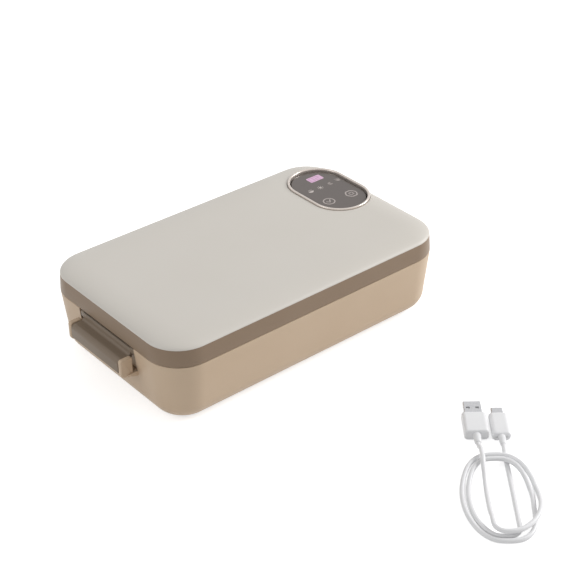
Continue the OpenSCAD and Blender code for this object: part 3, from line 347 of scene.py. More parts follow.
# Fine moulding grain, cloudy colour and uneven polish.
def mouldedSurface():
    group, given, out = newGroup("mouldedSurface", [
        ("Color", "NodeSocketColor", (0.5, 0.5, 0.5, 1)),
        ("Deep Color", "NodeSocketColor", (0.4, 0.4, 0.4, 1)),
        ("Cloud Scale", "NodeSocketFloat", 18.0), ("Cloud Amount", "NodeSocketFloat", 0.3),
        ("Grain Scale", "NodeSocketFloat", 2400.0), ("Roughness", "NodeSocketFloat", 0.4),
        ("Roughness Spread", "NodeSocketFloat", 0.08)],
        [("Color", "NodeSocketColor"), ("Roughness", "NodeSocketFloat"), ("Height", "NodeSocketFloat")])
    place = group.nodes.new("ShaderNodeTexCoord").outputs["Object"]
    cloud = addNoise(group, place, given.outputs["Cloud Scale"], 3.0, 0.55)
    grain = addNoise(group, place, given.outputs["Grain Scale"], 2.0)
    spread = addRange(group, cloud, 0.22, 0.78)
    speckle = addMath(group, "MULTIPLY", addRange(group, grain, 0.3, 0.7), 0.35)
    marked = addMath(group, "ADD", spread, speckle)
    amount = addMath(group, "MULTIPLY", marked, given.outputs["Cloud Amount"])
    color = addMix(group, amount, given.outputs["Color"], given.outputs["Deep Color"])
    centred = addMath(group, "SUBTRACT", spread, 0.5)
    uneven = addMath(group, "MULTIPLY", centred, given.outputs["Roughness Spread"])
    group.links.new(color, out.inputs["Color"])
    group.links.new(addMath(group, "ADD", given.outputs["Roughness"], uneven), out.inputs["Roughness"])
    group.links.new(grain, out.inputs["Height"])
    return group


# Fine streaks along X, as brushing leaves, with a slow change of tone.
def brushedSurface():
    group, given, out = newGroup("brushedSurface", [
        ("Color", "NodeSocketColor", (0.7, 0.7, 0.7, 1)),
        ("Streak Color", "NodeSocketColor", (0.6, 0.6, 0.6, 1)),
        ("Streak Length", "NodeSocketVector", (40.0, 2500.0, 2500.0)),
        ("Roughness", "NodeSocketFloat", 0.28), ("Roughness Spread", "NodeSocketFloat", 0.12)],
        [("Color", "NodeSocketColor"), ("Roughness", "NodeSocketFloat"), ("Height", "NodeSocketFloat")])
    stretch = group.nodes.new("ShaderNodeVectorMath")
    stretch.operation = "MULTIPLY"
    group.links.new(group.nodes.new("ShaderNodeTexCoord").outputs["Object"], stretch.inputs[0])
    group.links.new(given.outputs["Streak Length"], stretch.inputs[1])
    streak = addNoise(group, stretch.outputs[0], 1.0, 3.0, 0.6)
    amount = addRange(group, streak, 0.3, 0.7)
    color = addMix(group, amount, given.outputs["Color"], given.outputs["Streak Color"])
    centred = addMath(group, "SUBTRACT", amount, 0.5)
    uneven = addMath(group, "MULTIPLY", centred, given.outputs["Roughness Spread"])
    group.links.new(color, out.inputs["Color"])
    group.links.new(addMath(group, "ADD", given.outputs["Roughness"], uneven), out.inputs["Roughness"])
    group.links.new(streak, out.inputs["Height"])
    return group


surfaces = {"moulded": mouldedSurface(), "brushed": brushedSurface()}


# An on-screen colour, 0 to 255, as the shader's linear colour.
def srgb(r, g, b):
    c = np.array([r, g, b]) / 255
    c = np.where(c <= 0.04045, c / 12.92, ((c + 0.055) / 1.055) ** 2.4)
    return (float(c[0]), float(c[1]), float(c[2]), 1.0)


# A Principled material whose colour, roughness and bump come from one of the surfaces.
def makeMaterial(name, surface, bump, depth, given, shader):
    material = bpy.data.materials.new(name)
    material.use_nodes = True
    tree = material.node_tree
    principled = tree.nodes["Principled BSDF"]
    texture = tree.nodes.new("ShaderNodeGroup")
    texture.node_tree = surfaces[surface]
    for label, value in given.items():
        texture.inputs[label].default_value = value
    relief = tree.nodes.new("ShaderNodeBump")
    relief.inputs["Strength"].default_value = bump
    relief.inputs["Distance"].default_value = depth
    tree.links.new(texture.outputs["Height"], relief.inputs["Height"])
    tree.links.new(relief.outputs["Normal"], principled.inputs["Normal"])
    tree.links.new(texture.outputs["Color"], principled.inputs["Base Color"])
    tree.links.new(texture.outputs["Roughness"], principled.inputs["Roughness"])
    for label, value in shader.items():
        principled.inputs[label].default_value = value
    return material


# Moulded plastic: colour to deep colour by the clouds, the rest as given.
def plastic(name, color, deep, rough=0.42, spread=0.08, cloud=0.3, cloudScale=18.0, grain=2400.0,
            bump=0.08, **shader):
    return makeMaterial(name, "moulded", bump, 0.0001,
                        {"Color": srgb(*color), "Deep Color": srgb(*deep), "Cloud Scale": cloudScale,
                         "Cloud Amount": cloud, "Grain Scale": grain, "Roughness": rough,
                         "Roughness Spread": spread}, shader)


# Metal: colour to streak colour along the brushing.
def metal(name, color, streak, rough=0.28, spread=0.12, length=(40.0, 2500.0, 2500.0), bump=0.02, **shader):
    return makeMaterial(name, "brushed", bump, 0.00005,
                        {"Color": srgb(*color), "Streak Color": srgb(*streak), "Streak Length": length,
                         "Roughness": rough, "Roughness Spread": spread}, {"Metallic": 1.0, **shader})


# A plastic that also glows in its own colour, at that strength.
def lit(name, color, deep, strength):
    material = plastic(name, color, deep, rough=0.3)
    principled = material.node_tree.nodes["Principled BSDF"]
    texture = next(n for n in material.node_tree.nodes if n.type == "GROUP")
    material.node_tree.links.new(texture.outputs["Color"], principled.inputs["Emission Color"])
    principled.inputs["Emission Strength"].default_value = strength
    return material


finishes = {
    "beige_shell": plastic("beigeShell", (205, 183, 158), (196, 172, 146), rough=0.42, cloud=0.35,
                           **{"Specular IOR Level": 0.25}),
    "lid_cream": plastic("lidCream", (212, 207, 199), (206, 200, 191), rough=0.42, cloud=0.4, cloudScale=9.0),
    "brown_band": plastic("brownBand", (142, 122, 102), (133, 112, 92), rough=0.42, cloud=0.35,
                          **{"Specular IOR Level": 0.3}),
    "latch_brown": plastic("latchBrown", (132, 117, 101), (123, 108, 92), rough=0.36, cloud=0.35,
                           **{"Specular IOR Level": 0.25}),
    "inner_white": plastic("innerWhite", (232, 229, 222), (226, 222, 214), rough=0.3),
    "silicone": plastic("silicone", (233, 232, 228), (224, 223, 218), rough=0.5, bump=0.04),
    "foot_rubber": plastic("footRubber", (82, 78, 75), (72, 68, 66), rough=0.8, bump=0.3, grain=1600.0),
    "ring_chrome": metal("ringChrome", (222, 212, 204), (208, 198, 190), rough=0.26, spread=0.06,
                         Metallic=0.55),
    "smoked_panel": plastic("smokedPanel", (88, 78, 73), (80, 70, 66), rough=0.2, spread=0.04, bump=0.0,
                            **{"Coat Weight": 0.15, "Coat Roughness": 0.1}),
    "black_plastic": plastic("blackPlastic", (38, 34, 32), (30, 27, 26), rough=0.5),
    "stainless": metal("stainless", (206, 203, 198), (188, 185, 180), rough=0.26),
    "steel": metal("steel", (196, 196, 198), (178, 178, 181), rough=0.3),
    "aluminium_plate": metal("aluminiumPlate", (214, 215, 217), (203, 204, 206), rough=0.38),
    "film": plastic("amberFilm", (196, 128, 62), (172, 104, 44), rough=0.25),
    "pad": plastic("fibrePad", (226, 220, 204), (206, 199, 182), rough=0.95, grain=900.0, bump=0.8),
    "cell_foil": metal("cellFoil", (196, 200, 206), (180, 185, 192), rough=0.35),
    "circuit": plastic("circuitMask", (36, 104, 72), (26, 84, 58), rough=0.3, cloudScale=220.0, cloud=0.6),
    "chip": plastic("chipBlack", (52, 52, 55), (42, 42, 45), rough=0.55),
    "gold": metal("contactGold", (226, 190, 112), (212, 172, 92), rough=0.22),
    "lead_red": plastic("leadRed", (170, 44, 38), (150, 34, 30), rough=0.45),
    "lead_black": plastic("leadBlack", (46, 46, 48), (36, 36, 38), rough=0.45),
    "lamp": plastic("lampResin", (240, 238, 230), (228, 226, 216), rough=0.35),
    "cable_white": plastic("cableWhite", (236, 236, 237), (228, 228, 230), rough=0.38, cloudScale=60.0,
                           bump=0.04),
    "plug_steel": metal("plugSteel", (206, 206, 208), (192, 192, 195), rough=0.24,
                        length=(900.0, 900.0, 900.0)),
}
for part in frame["record"]["subparts"]:
    cad = nodes[part["node"]]
    cad.data.materials.clear()
    cad.data.materials.append(finishes[part["material_slot"]])
print("materials made:", len(finishes))

cable = {
    "middle": (-5, -252), "turn": -39.3, "diameter": 3.2, "coil": (50, 78), "pitch": 4.0,
    "leadA": [(-8, 51, 4), (-8, 49, 4), (-8, 46, 5.2), (-8, 42, 8), (-8, 37, 9.6), (-8, 31, 9.6),
              (-8, 24, 7.2), (-8, 15, 3.6), (-8, 6, 1.8), (-8, -3, 1.6), (-8, -11, 2.4), (-8, -19, 4.6),
              (-8, -25, 5.6)],
    "leadC": [(8, 50, 3.2), (8, 48, 3.2), (8, 44, 2.2), (8, 40, 1.7), (8, 34, 1.6), (8, 22, 1.6),
              (8, 10, 1.6), (8, -2, 1.6), (8, -14, 1.6), (8, -25, 1.6)],
    "spacing": 1.0,                 # distance between the tube's rings
}
plugs = {                           # each stands where its lead starts
    "A": {"relief": 5.4, "body": (16, 8), "corner": 2.4, "length": 20},
    "C": {"relief": 5.0, "body": (12.4, 6.4), "corner": 2.8, "length": 22},
}


# 0 below 0, 1 above 1, smooth between: 3xx - 2xxx.
def ease(x):
    c = np.clip(x, 0, 1)
    return c * c * (3 - 2 * c)


# Two turns, each in two half ovals: inset leads to the outer turn and back, and lift carries the cord
# over its lead and itself.
def coilPoints(c):
    r = c["diameter"] / 2
    points = []
    for half in range(4):
        side = 1 if half % 2 == 0 else -1
        t = -90 + 180 * half + 15.0 * np.arange(13)
        out = np.where(t < 270, ease((t + 75) / 60), 1 - ease((t - 300) / 50))
        inset = (1 - out) * c["pitch"]
        lift = c["pitch"] * (ease((np.sin(np.radians(t)) - 0.15) / 0.7) + 1 - ease((t + 25) / 45))
        x = side * 2 * r + ((c["coil"][0] - 2 * r) / 2 - inset - 2 * r) * np.cos(np.radians(t))
        y = ((c["coil"][1] - 2 * r) / 2 - inset) * np.sin(np.radians(t))
        points += np.column_stack([x, y, r + lift]).tolist()
    return points


# A quarter turn of 8 mm that leads from the coil to a plug, at height z.
def bendPoints(c, side, z):
    near = c["pitch"] + c["diameter"] / 2 - c["coil"][1] / 2
    a = np.radians(np.arange(15, 91, 15))
    x, y = side * (0.8 + 7.2 * np.cos(a)), near + 8 * (1 - np.sin(a))
    return np.column_stack([x, y, np.full(len(a), z)]).tolist()


# A Catmull-Rom curve through the points, cut into equal steps.
def smoothRun(points, spacing):
    p = np.array(points, float)
    apart = np.linalg.norm(np.diff(p, axis=0), axis=1) > 0.3       # leaves out a point met twice
    p = p[np.concatenate([[True], apart])]
    q = np.concatenate([[2 * p[0] - p[1]], p, [2 * p[-1] - p[-2]]])
    t = np.linspace(0, 1, 8, endpoint=False)[:, None]
    run = [(2 * b + t * (c - a) + t**2 * (2 * a - 5 * b + 4 * c - d) + t**3 * (3 * b - a - 3 * c + d)) / 2
           for a, b, c, d in zip(q, q[1:], q[2:], q[3:])]
    run = np.concatenate(run + [p[-1:]])
    along = np.concatenate([[0], np.cumsum(np.linalg.norm(np.diff(run, axis=0), axis=1))])
    cuts = np.linspace(0, along[-1], int(along[-1] / spacing) + 1)
    return np.column_stack([np.interp(cuts, along, run[:, k]) for k in range(3)])


# The cable's own axes turned about its middle and laid on the table.
def placeCable(p):
    p = np.asarray(p, float)
    a = np.radians(cable["turn"])
    return np.column_stack([cable["middle"][0] + p[:, 0] * np.cos(a) - p[:, 1] * np.sin(a),
                            cable["middle"][1] + p[:, 0] * np.sin(a) + p[:, 1] * np.cos(a), p[:, 2]])


# Strain relief and moulded body, lofted along their height, which place() lays along the lead.
def makePlug(name, start, s):
    x, y, z = start
    place = lambda p: placeCable(np.column_stack([x - p[:, 0], y + p[:, 2], z + p[:, 1]]))
    narrow = s["relief"] / 2 - cable["diameter"] / 2 - 0.25
    taper = [[narrow, 0], [0.55, 0.5], [0.35, 2.5], [0.0, 7.2], [0.0, 9]]
    neck = loft(name + "Relief", discRing(s["relief"]), taper, finishes["cable_white"])
    low, high = 8, 8 + s["length"]
    edge = roundCorners([[3, low], [0, low], [0, high], [3, high]], [0, 1.6, 0.5, 0], 6)
    block = loft(name + "Body", boxRing(*s["body"], s["corner"], 10, 0.3), edge, finishes["cable_white"])
    return joined(name, [moved(neck, place), moved(block, place)]), place


route = smoothRun(cable["leadA"] + bendPoints(cable, -1, 5.6) + coilPoints(cable)
                  + bendPoints(cable, 1, 1.6)[::-1] + cable["leadC"][::-1], cable["spacing"])
route[:, 2] = np.maximum(route[:, 2], cable["diameter"] / 2)
route = placeCable(route)
cordTube = tubeMesh("usbCord", route, cable["diameter"] / 2, finishes["cable_white"])
plugA, placeA = makePlug("plugBodyA", cable["leadA"][0], plugs["A"])
plugC, placeC = makePlug("plugBodyC", cable["leadC"][0], plugs["C"])


# A 12 by 4.5 mm tube with two square windows in its upper and lower face.
def makeShellA():
    edge = [[0, 28], [0, 41.5], [0.4, 41.5], [0.4, 28.4], [2, 28.4], [2, 28]]
    tube = loft("shellA", boxRing(12, 4.5, 0.7, 6, 0.3), roundCorners(edge, [0, 0.12, 0.12, 0, 0, 0], 2),
                finishes["plug_steel"], closed=True)
    holes = []
    for x in (-3, 3):
        hole = loft("hole", boxRing(2.2, 2.4, 0.2, 3, 0.1), [[0, -4], [0, 4]], finishes["plug_steel"])
        holes.append(moved(hole, lambda p: np.column_stack([x + p[:, 1], p[:, 2], 34.5 + p[:, 0]])))
    return moved(cutAway(tube, holes, 30), placeA)


# A flat bar of 11.1 by 1.6 mm, 0.55 mm above the middle of the shell.
def makeTongueA():
    edge = roundCorners([[0.75, 27], [0, 27], [0, 39.6], [0.75, 39.6]], [0, 0, 0.2, 0], 3)
    tongue = loft("tongueA", boxRing(11.1, 1.6, 0.1, 2, 0.05), edge, finishes["cable_white"])
    return moved(tongue, lambda p: placeA(p + [0, 0.55, 0]))


# An 8.3 by 2.6 mm tube with round ends.
def makeShellC():
    edge = [[0, 29], [0, 37.6], [0.4, 37.6], [0.4, 31], [1.2, 31], [1.2, 29]]
    ring = slotRing(8.3, 2.6, 16)
    turned = lambda inset: ring(inset) @ np.array([[0, 1], [-1, 0]])
    edge = roundCorners(edge, [0, 0.15, 0.1, 0, 0, 0], 3)
    tube = loft("shellC", turned, edge, finishes["plug_steel"], closed=True)
    return moved(tube, placeC)


shellA, tongueA, shellC = makeShellA(), makeTongueA(), makeShellC()
seat(cordTube, "base", "cable_white", "cable_coil", "cable_lead_a", "cable_lead_c")
seat(plugA, "base", "cable_white", "usb_a_body")
seat(plugC, "base", "cable_white", "usb_c_body")
seat(shellA, "base", "plug_steel", "usb_a_shell")
seat(tongueA, "base", "cable_white")
seat(shellC, "base", "plug_steel", "usb_c_shell")

box = {"length": 241.6, "width": 149.2, "corner": 26.6, "wall": 2.4, "floor": 1.2, "rim": 48.4,
       "fillet": 14.0, "draft": 3.6}
boxOutline = boxRing(box["length"], box["width"], box["corner"], 20)
latchPocket = {"back": -114.8, "half": 32.1, "bottom": 27.0}
latchEars = {"front": -131.0, "back": -121.6, "bottom": 28.4, "top": 42.4, "sides": (28.1, 31.5),
             "neckSides": (28.4, 32.6)}
socket = {"at": (70, 71.95, 24), "dip": (13, 7), "mouth": (9.6, 3.8)}
hinge = {"pin": (126.5, 43.7), "radius": 4.5,           # each knuckle: its middle and width along Y
         "baseKnuckles": ((-16.9, 10), (16.9, 10)),
         "lidKnuckles": ((0, 23), (-27.05, 9.5), (27.05, 9.5))}


# How far the outer wall leans out over one mm of height.
def wallSlope(b):
    return b["draft"] / (b["rim"] - b["floor"] - b["fillet"])


# Up the outside from the floor, over the rim and down the inside.
def baseProfile(b):
    # One skin: the floor's edge, a quarter circle, and the leaning wall up to the rim.
    def side(skin, turns):
        r = b["fillet"] - skin
        a = np.radians(np.linspace(0, 90, turns + 1))
        arc = np.column_stack([b["draft"] + skin + r * (1 - np.sin(a)),
                               b["floor"] + skin + r * (1 - np.cos(a))])
        slope = -wallSlope(b)
        above = [arc[-1][0] + 0.7 * slope, arc[-1][1] + 0.7]
        return [[arc[0][0] + 0.7, arc[0][1]], *arc.tolist(), above, [skin, b["rim"]]]
    outside, inside = side(0, 18), side(b["wall"], 10)
    profile = outside + inside[::-1]
    radii = np.zeros(len(profile))
    radii[len(outside) - 1] = 0.5
    radii[len(outside)] = 0.3
    return roundCorners(profile, radii, 4)


# A round knuckle about the hinge pin, with a web back to the wall.
def baseKnuckle(y, width):
    around = arcRun(*hinge["pin"], hinge["radius"], 270, 510, 40)
    outline = np.concatenate([[[118.2, 34.7]], around, [[118.2, 45.95]]])
    return prism("baseKnuckle", outline, -y - width / 2, -y + width / 2, 0.4, finishes["beige_shell"])


# A block with a flat top and rounded corners, open behind, on a low neck that runs back to the
# pocket's wall. Side is -1 for the one at +Y, and 1 for the one at -Y.
def latchEar(side):
    e = latchEars
    block = roundCorners([[e["front"], e["bottom"]], [e["back"], e["bottom"]], [e["back"], e["top"]],
                          [e["front"], e["top"]]], [3.0, 0.8, 1.6, 1.9], 8)
    neck = [[e["front"] + 5, 28.8], [-118.2, 26.6], [-114.4, 26.6], [-114.4, 30.4], [e["front"] + 5, 30.4]]
    low, high = sorted(side * y for y in e["sides"])
    neckLow, neckHigh = sorted(side * y for y in e["neckSides"])
    return [prism("latchEar", block, low, high, 0.9, finishes["beige_shell"], n=6),
            prism("earNeck", neck, neckLow, neckHigh, 0.4, finishes["beige_shell"])]


# The moulded shell with the latch's pocket, the socket's dip, the ears and the knuckles.
def makeBase(b):
    beige = finishes["beige_shell"]
    shell = loft("baseShell", boxOutline, baseProfile(b), beige)
    p = latchPocket
    inX, low, high = p["back"] + b["wall"], p["bottom"] - b["wall"], b["rim"] - 0.4
    wallX = [-b["length"] / 2 + b["wall"] / 2 + wallSlope(b) * (b["rim"] - z) for z in (low, high)]
    surround = prism("surround", [[wallX[0], low], [inX, low], [inX, high], [wallX[1], high]],
                     -p["half"] - b["wall"], p["half"] + b["wall"], 0.001, beige, n=1)
    front, over = -130, 60          # both well outside the shell
    room = prism("room", [[front, p["bottom"]], [p["back"], p["bottom"]], [p["back"], over], [front, over]],
                 -p["half"], p["half"], 0.001, beige, n=1)
    dip = loft("dip", slotRing(*socket["dip"], 20),
               [[1.2, -1.0], [0.35, -0.75], [0, -0.2], [-0.3, 0.15], [-1.6, 4]], beige)
    mouth = loft("mouth", slotRing(*socket["mouth"], 20), [[0, -6], [0, 4]], beige)
    x, y, z = socket["at"]
    for cutter in (dip, mouth):
        moved(cutter, lambda q: np.column_stack([x + q[:, 1], y + q[:, 2], z + q[:, 0]]))
    cutAway(shell, [room, dip, mouth], 30, [surround])
    knuckles = [baseKnuckle(*k) for k in hinge["baseKnuckles"]]
    return joined("baseShell", [shell, *latchEar(-1), *latchEar(1), *knuckles])


seat(makeBase(box), "base", "beige_shell", "base_shell")

foot = {"x": 93.8, "y": 53.8, "diameter": 14, "height": 2.2, "round": 0.9}


# Four discs with a rounded lower edge, at plus and minus x and y.
def makeFeet(f):
    edge = roundCorners([[4, 0], [0, 0], [0, f["height"]], [4, f["height"]]], [0, f["round"], 0, 0], 5)
    feet = [loft("foot", discRing(f["diameter"]), edge, finishes["foot_rubber"], at=(x, y))
            for x in (-f["x"], f["x"]) for y in (-f["y"], f["y"])]
    return joined("feet", feet)


seat(makeFeet(foot), "base", "foot_rubber", "rubber_feet")
seat(smoothCopy("well_frame", finishes["inner_white"]), "base", "inner_white", "well_frame")
print("base made")

tray = {"length": 216.0, "width": 126.0, "corner": 20.0, "bottom": 16.7, "top": 52.7, "flange": 5.0,
        "collar": 8.0, "step": 1.4, "draft": 2.0, "fillet": 6.0, "sheet": 0.8, "edge": 1.4}


# Up the outside, under and over the flange, and down the inside to the floor.
def trayProfile(t):
    a = np.radians(np.linspace(0, 90, 13))

    # One skin: the floor's edge, a quarter circle, the leaning wall, the shoulder and the collar.
    def wall(skin):
        r = t["fillet"] - skin
        low = t["flange"] + t["step"] + t["draft"] + skin
        arc = np.column_stack([low + r * (1 - np.sin(a)), t["bottom"] + skin + r * (1 - np.cos(a))])
        shoulder = t["top"] - t["collar"] + skin / 2
        return [[arc[0][0] + 0.6, arc[0][1]], *arc.tolist(), [low - t["draft"], shoulder - 2],
                [t["flange"] + skin, shoulder]]
    outside, inside = wall(0), wall(t["sheet"])
    rim = [[t["flange"], t["top"] - t["sheet"]], [t["sheet"], t["top"] - t["sheet"]],
           [t["sheet"], t["top"] - t["edge"]], [0, t["top"] - t["edge"]], [0, t["top"]],
           [t["flange"] + t["sheet"], t["top"]]]
    profile = outside + rim + inside[::-1]
    n = len(outside)
    radii = np.zeros(len(profile))
    radii[n - 2:n] = 0.8
    radii[n:n + 6] = [0.3, 0.3, 0.2, 0.2, 0.9, 1.2]
    radii[n + 6:n + 8] = 0.8
    return roundCorners(profile, radii, 5)


seat(loft("foodTray", boxRing(tray["length"], tray["width"], tray["corner"], 20), trayProfile(tray),
          finishes["stainless"]), "base", "stainless", "food_tray")
print("tray made")

lid = {"bottom": 48.7, "bandTop": 61.2, "bandDraft": 0.8, "crown": 4.6, "run": 21.0, "cover": 2.2,
       "ledgeTop": 58.4, "ledgeBottom": 56.8, "ledge": 2.5}
pod = {"at": (95.2, 23.7), "length": 70.0, "width": 45.6, "ring": 1.9, "ringBottom": 61.4, "ringTop": 67.0,
       "glassTop": 64.9, "glassThick": 2.3, "glass": (64.2, 39.8), "marks": (94.71, 21.65), "groove": 0.35}


# Up the leaning outside, over the top, down the inside round the ledge that carries the cover.
def bandProfile(d, wall):
    ledge = wall + d["ledge"]
    profile = [[0, d["bottom"]], [d["bandDraft"], d["bandTop"]], [wall + 0.59, d["bandTop"]],
               [wall, d["ledgeTop"]], [ledge, d["ledgeTop"]], [ledge, d["ledgeBottom"]],
               [wall, d["ledgeBottom"]], [wall, d["bottom"]]]
    return roundCorners(profile, [0.5, 0.35, 0.2, 0, 0.2, 0.2, 0, 0.4], 4)


# A knuckle about the hinge pin that hangs from the band.
def lidKnuckle(y, width):
    around = arcRun(*hinge["pin"], hinge["radius"], 180, 400, 36)
    outline = np.concatenate([[[119.6, 48.7], [121.1, 48.7], [122, 43.7]], around[1:],
                              [[124.4, 52.7], [120.3, 57.7], [119.6, 57.7]]])
    return prism("lidKnuckle", outline, -y - width / 2, -y + width / 2, 0.4, finishes["brown_band"])


# The band with the catch for the latch and three knuckles.
def makeBand(d):
    band = loft("lidBand", boxOutline, bandProfile(d, box["wall"]), finishes["brown_band"], closed=True)
    hook = [[-119.6, 49.3], [-117.4, 48.7], [-117.4, 40.5], [-118.5, 40.2], [-118.5, 39.6], [-117.4, 38.1],
            [-115.4, 38.1], [-115.4, 54.4], [-119.6, 54.4]]
    catch = prism("catch", roundCorners(hook, [0, 0, 0.3, 0.3, 0.3, 0.4, 0.5, 0, 0], 3), -21.8, 21.8, 0.3,
                  finishes["brown_band"])
    return joined("lidBand", [band, catch, *(lidKnuckle(*k) for k in hinge["lidKnuckles"])])


# From the middle of the underside out to the edge, then up and over the crown.
def coverProfile(d):
    a = np.radians(np.linspace(0, 90, 25))
    outside = np.column_stack([d["bandDraft"] + d["run"] * (1 - np.cos(a)),
                               d["bandTop"] + d["crown"] * np.sin(a)])
    inRun, inRise = d["run"] - d["cover"] / 2, d["crown"] - d["cover"]
    inside = np.column_stack([d["bandDraft"] + d["cover"] + inRun * (1 - np.cos(a)),
                              d["bandTop"] + inRise * np.sin(a)])[::-1]
    profile = [[inside[0][0] + 1, inside[0][1]], *inside.tolist(), *outside.tolist(),
               [outside[-1][0] + 1, outside[-1][1]]]
    radii = np.zeros(len(profile))
    radii[len(inside) + 1] = 0.35
    return roundCorners(profile, radii, 4)


# The crowned cover with the opening for the display.
def makeCover(d):
    cover = loft("lidCover", boxOutline, coverProfile(d), finishes["lid_cream"])
    groove = 2 * pod["groove"]
    flare = [[0, 50], [0, 65.55], [-0.08, 65.72], [-0.25, 65.82], [-0.25, 72]]     # breaks the edge
    opening = loft("opening", slotRing(pod["length"] + groove, pod["width"] + groove, 60), flare,
                   finishes["lid_cream"], at=pod["at"])
    return cutAway(cover, [opening], 25)


seat(makeCover(lid), "lid", "lid_cream", "lid_cover")
seat(makeBand(lid), "lid", "brown_band", "lid_band")
for name, slotName in (("inner_cover", "inner_white"), ("lid_seal", "silicone")):
    seat(smoothCopy(name, finishes[slotName]), "lid", slotName, name)
print("lid made")


# A slot-shaped ring as wide as p["ring"], from ringBottom to ringTop, with a rounded rim.
def makeRing(p):
    edge = [[0, p["ringBottom"]], [0, p["ringTop"]], [p["ring"], p["ringTop"]], [p["ring"], p["ringBottom"]]]
    return loft("displayRing", slotRing(p["length"], p["width"], 60), roundCorners(edge, [0, 0.7, 1.0, 0], 7),
                finishes["ring_chrome"], closed=True, at=p["at"])


# A slot-shaped plate, glassThick deep under glassTop, with a rounded upper edge.
def makeGlass(p):
    low = p["glassTop"] - p["glassThick"]
    edge = roundCorners([[3, low], [0, low], [0, p["glassTop"]], [3, p["glassTop"]]], [0, 0, 0.45, 0], 5)
    return loft("displayGlass", slotRing(*p["glass"], 60), edge, finishes["smoked_panel"], at=p["at"])


seat(makeRing(pod), "lid", "ring_chrome", "display_ring")
seat(makeGlass(pod), "lid", "smoked_panel", "display_panel")

mark = {"thick": 0.04, "step": 0.045}       # the digits lie one step over the window
window = {"at": (4.6, 22.4), "size": (12.4, 7.2), "corner": 1.1, "digits": ((-3.0, "abcdef"), (2.0, "abged"))}
markFinishes = {
    "window": lit("ledWindow", (210, 172, 200), (203, 162, 193), 0.14),
    "digits": lit("ledDigits", (196, 152, 190), (190, 146, 184), 0.1),
    "bright": lit("iconBright", (186, 177, 172), (176, 167, 162), 0.12),
    "dim": lit("iconDim", (150, 140, 136), (142, 132, 128), 0.06),
    "key": lit("keyMark", (170, 160, 156), (160, 150, 146), 0.08),
}


# Thin plates from that height up; each outline is drawn about the middle of the marks.
def flatMark(name, outlines, height, material):
    parts = []
    for outline in outlines:
        o = np.asarray(outline, float) + np.asarray(pod["marks"])
        parts.append(prism(name, o, height, height + mark["thick"], 0.001, material, lambda p: p, 1))
    return joined(name, parts)


# An open line as one flat outline of that width.
def stroke(points, width):
    p = np.asarray(points, float)
    d = np.gradient(p, axis=0)
    n = np.column_stack([-d[:, 1], d[:, 0]]) / np.linalg.norm(d, axis=1)[:, None] * width / 2
    return np.concatenate([p + n, (p - n)[::-1]])


# A ring of that outer radius, in two halves, because a stroke has two ends.
def ringStrokes(cx, cy, outer, width):
    return [stroke(arcRun(cx, cy, outer - width / 2, a, a + 180, 16), width) for a in (0, 180)]


# A seven-segment digit, about w by h, its top towards +Y, of strokes t wide; lines names the lit ones.
def digitOutlines(cx, cy, lines, w=3.4, h=5.4, t=0.6):
    ends = {"a": ((-w, h), (w, h)), "b": ((w, h), (w, 0)), "c": ((w, 0), (w, -h)), "d": ((-w, -h), (w, -h)),
            "e": ((-w, 0), (-w, -h)), "f": ((-w, h), (-w, 0)), "g": ((-w, 0), (w, 0))}
    return [stroke(np.array(ends[k]) / 2 * 0.92 + [cx, cy], t) for k in lines]


glassTop = pod["glassTop"]
windowRing = boxRing(*window["size"], window["corner"], 5, 0.1)(0) + window["at"]
seat(flatMark("ledWindow", [windowRing], glassTop, markFinishes["window"]), "lid", "lamp")
digits = []
for offset, lines in window["digits"]:
    digits += digitOutlines(window["at"][0] + offset, window["at"][1], lines)
seat(flatMark("ledDigits", digits, glassTop + mark["step"], markFinishes["digits"]), "lid", "lamp")


# A half disc with three bent strokes of steam over it.
def bowlIcon(cx, cy):
    steam = [stroke(np.array([[0, 0.9], [0.25, 1.5], [0, 2.1]]) + [cx + s, cy], 0.4) for s in (-1, 0.1, 1.2)]
    return [arcRun(cx, cy + 0.2, 2.2, 180, 360, 14)] + steam


# A small disc with eight rays, from 1.5 to 2.4 out.
def sunIcon(cx, cy):
    rays = [stroke(np.outer([1.5, 2.4], [np.cos(a), np.sin(a)]) + [cx, cy], 0.4)
            for a in np.radians(np.arange(0, 360, 45))]
    return [arcRun(cx, cy, 1.0, 0, 345, 23)] + rays


# Two leaves, each a half sine wave and its mirror, turned a little.
def leafIcon(cx, cy):
    t = np.radians(np.linspace(0, 180, 13))
    leaf = np.column_stack([np.linspace(-2.2, 2.2, 13), 0.9 * np.sin(t)])
    leaf = np.concatenate([leaf, (leaf * [1, -1])[::-1][1:-1]])
    turn = lambda a: leaf @ np.array([[np.cos(a), np.sin(a)], [-np.sin(a), np.cos(a)]])
    return [turn(0.5) + [cx, cy + 0.9], turn(-0.4) + [cx, cy - 0.9]]


# An upright cup with a line over it.
def cupIcon(cx, cy):
    cup = [[cx - 1.9, cy + 1], [cx - 1.3, cy - 1.9], [cx + 1.3, cy - 1.9], [cx + 1.9, cy + 1]]
    return [cup, stroke([[cx - 2.3, cy + 1.8], [cx + 2.3, cy + 1.8]], 0.5)]


icons = {"bright": bowlIcon(-10.5, 9.2) + sunIcon(-1.4, 9.0),
         "dim": leafIcon(8.1, 9.2) + cupIcon(16.7, 10.0)}
for tone, outlines in icons.items():
    seat(flatMark("icons" + tone.title(), outlines, glassTop, markFinishes[tone]), "lid", "lamp")


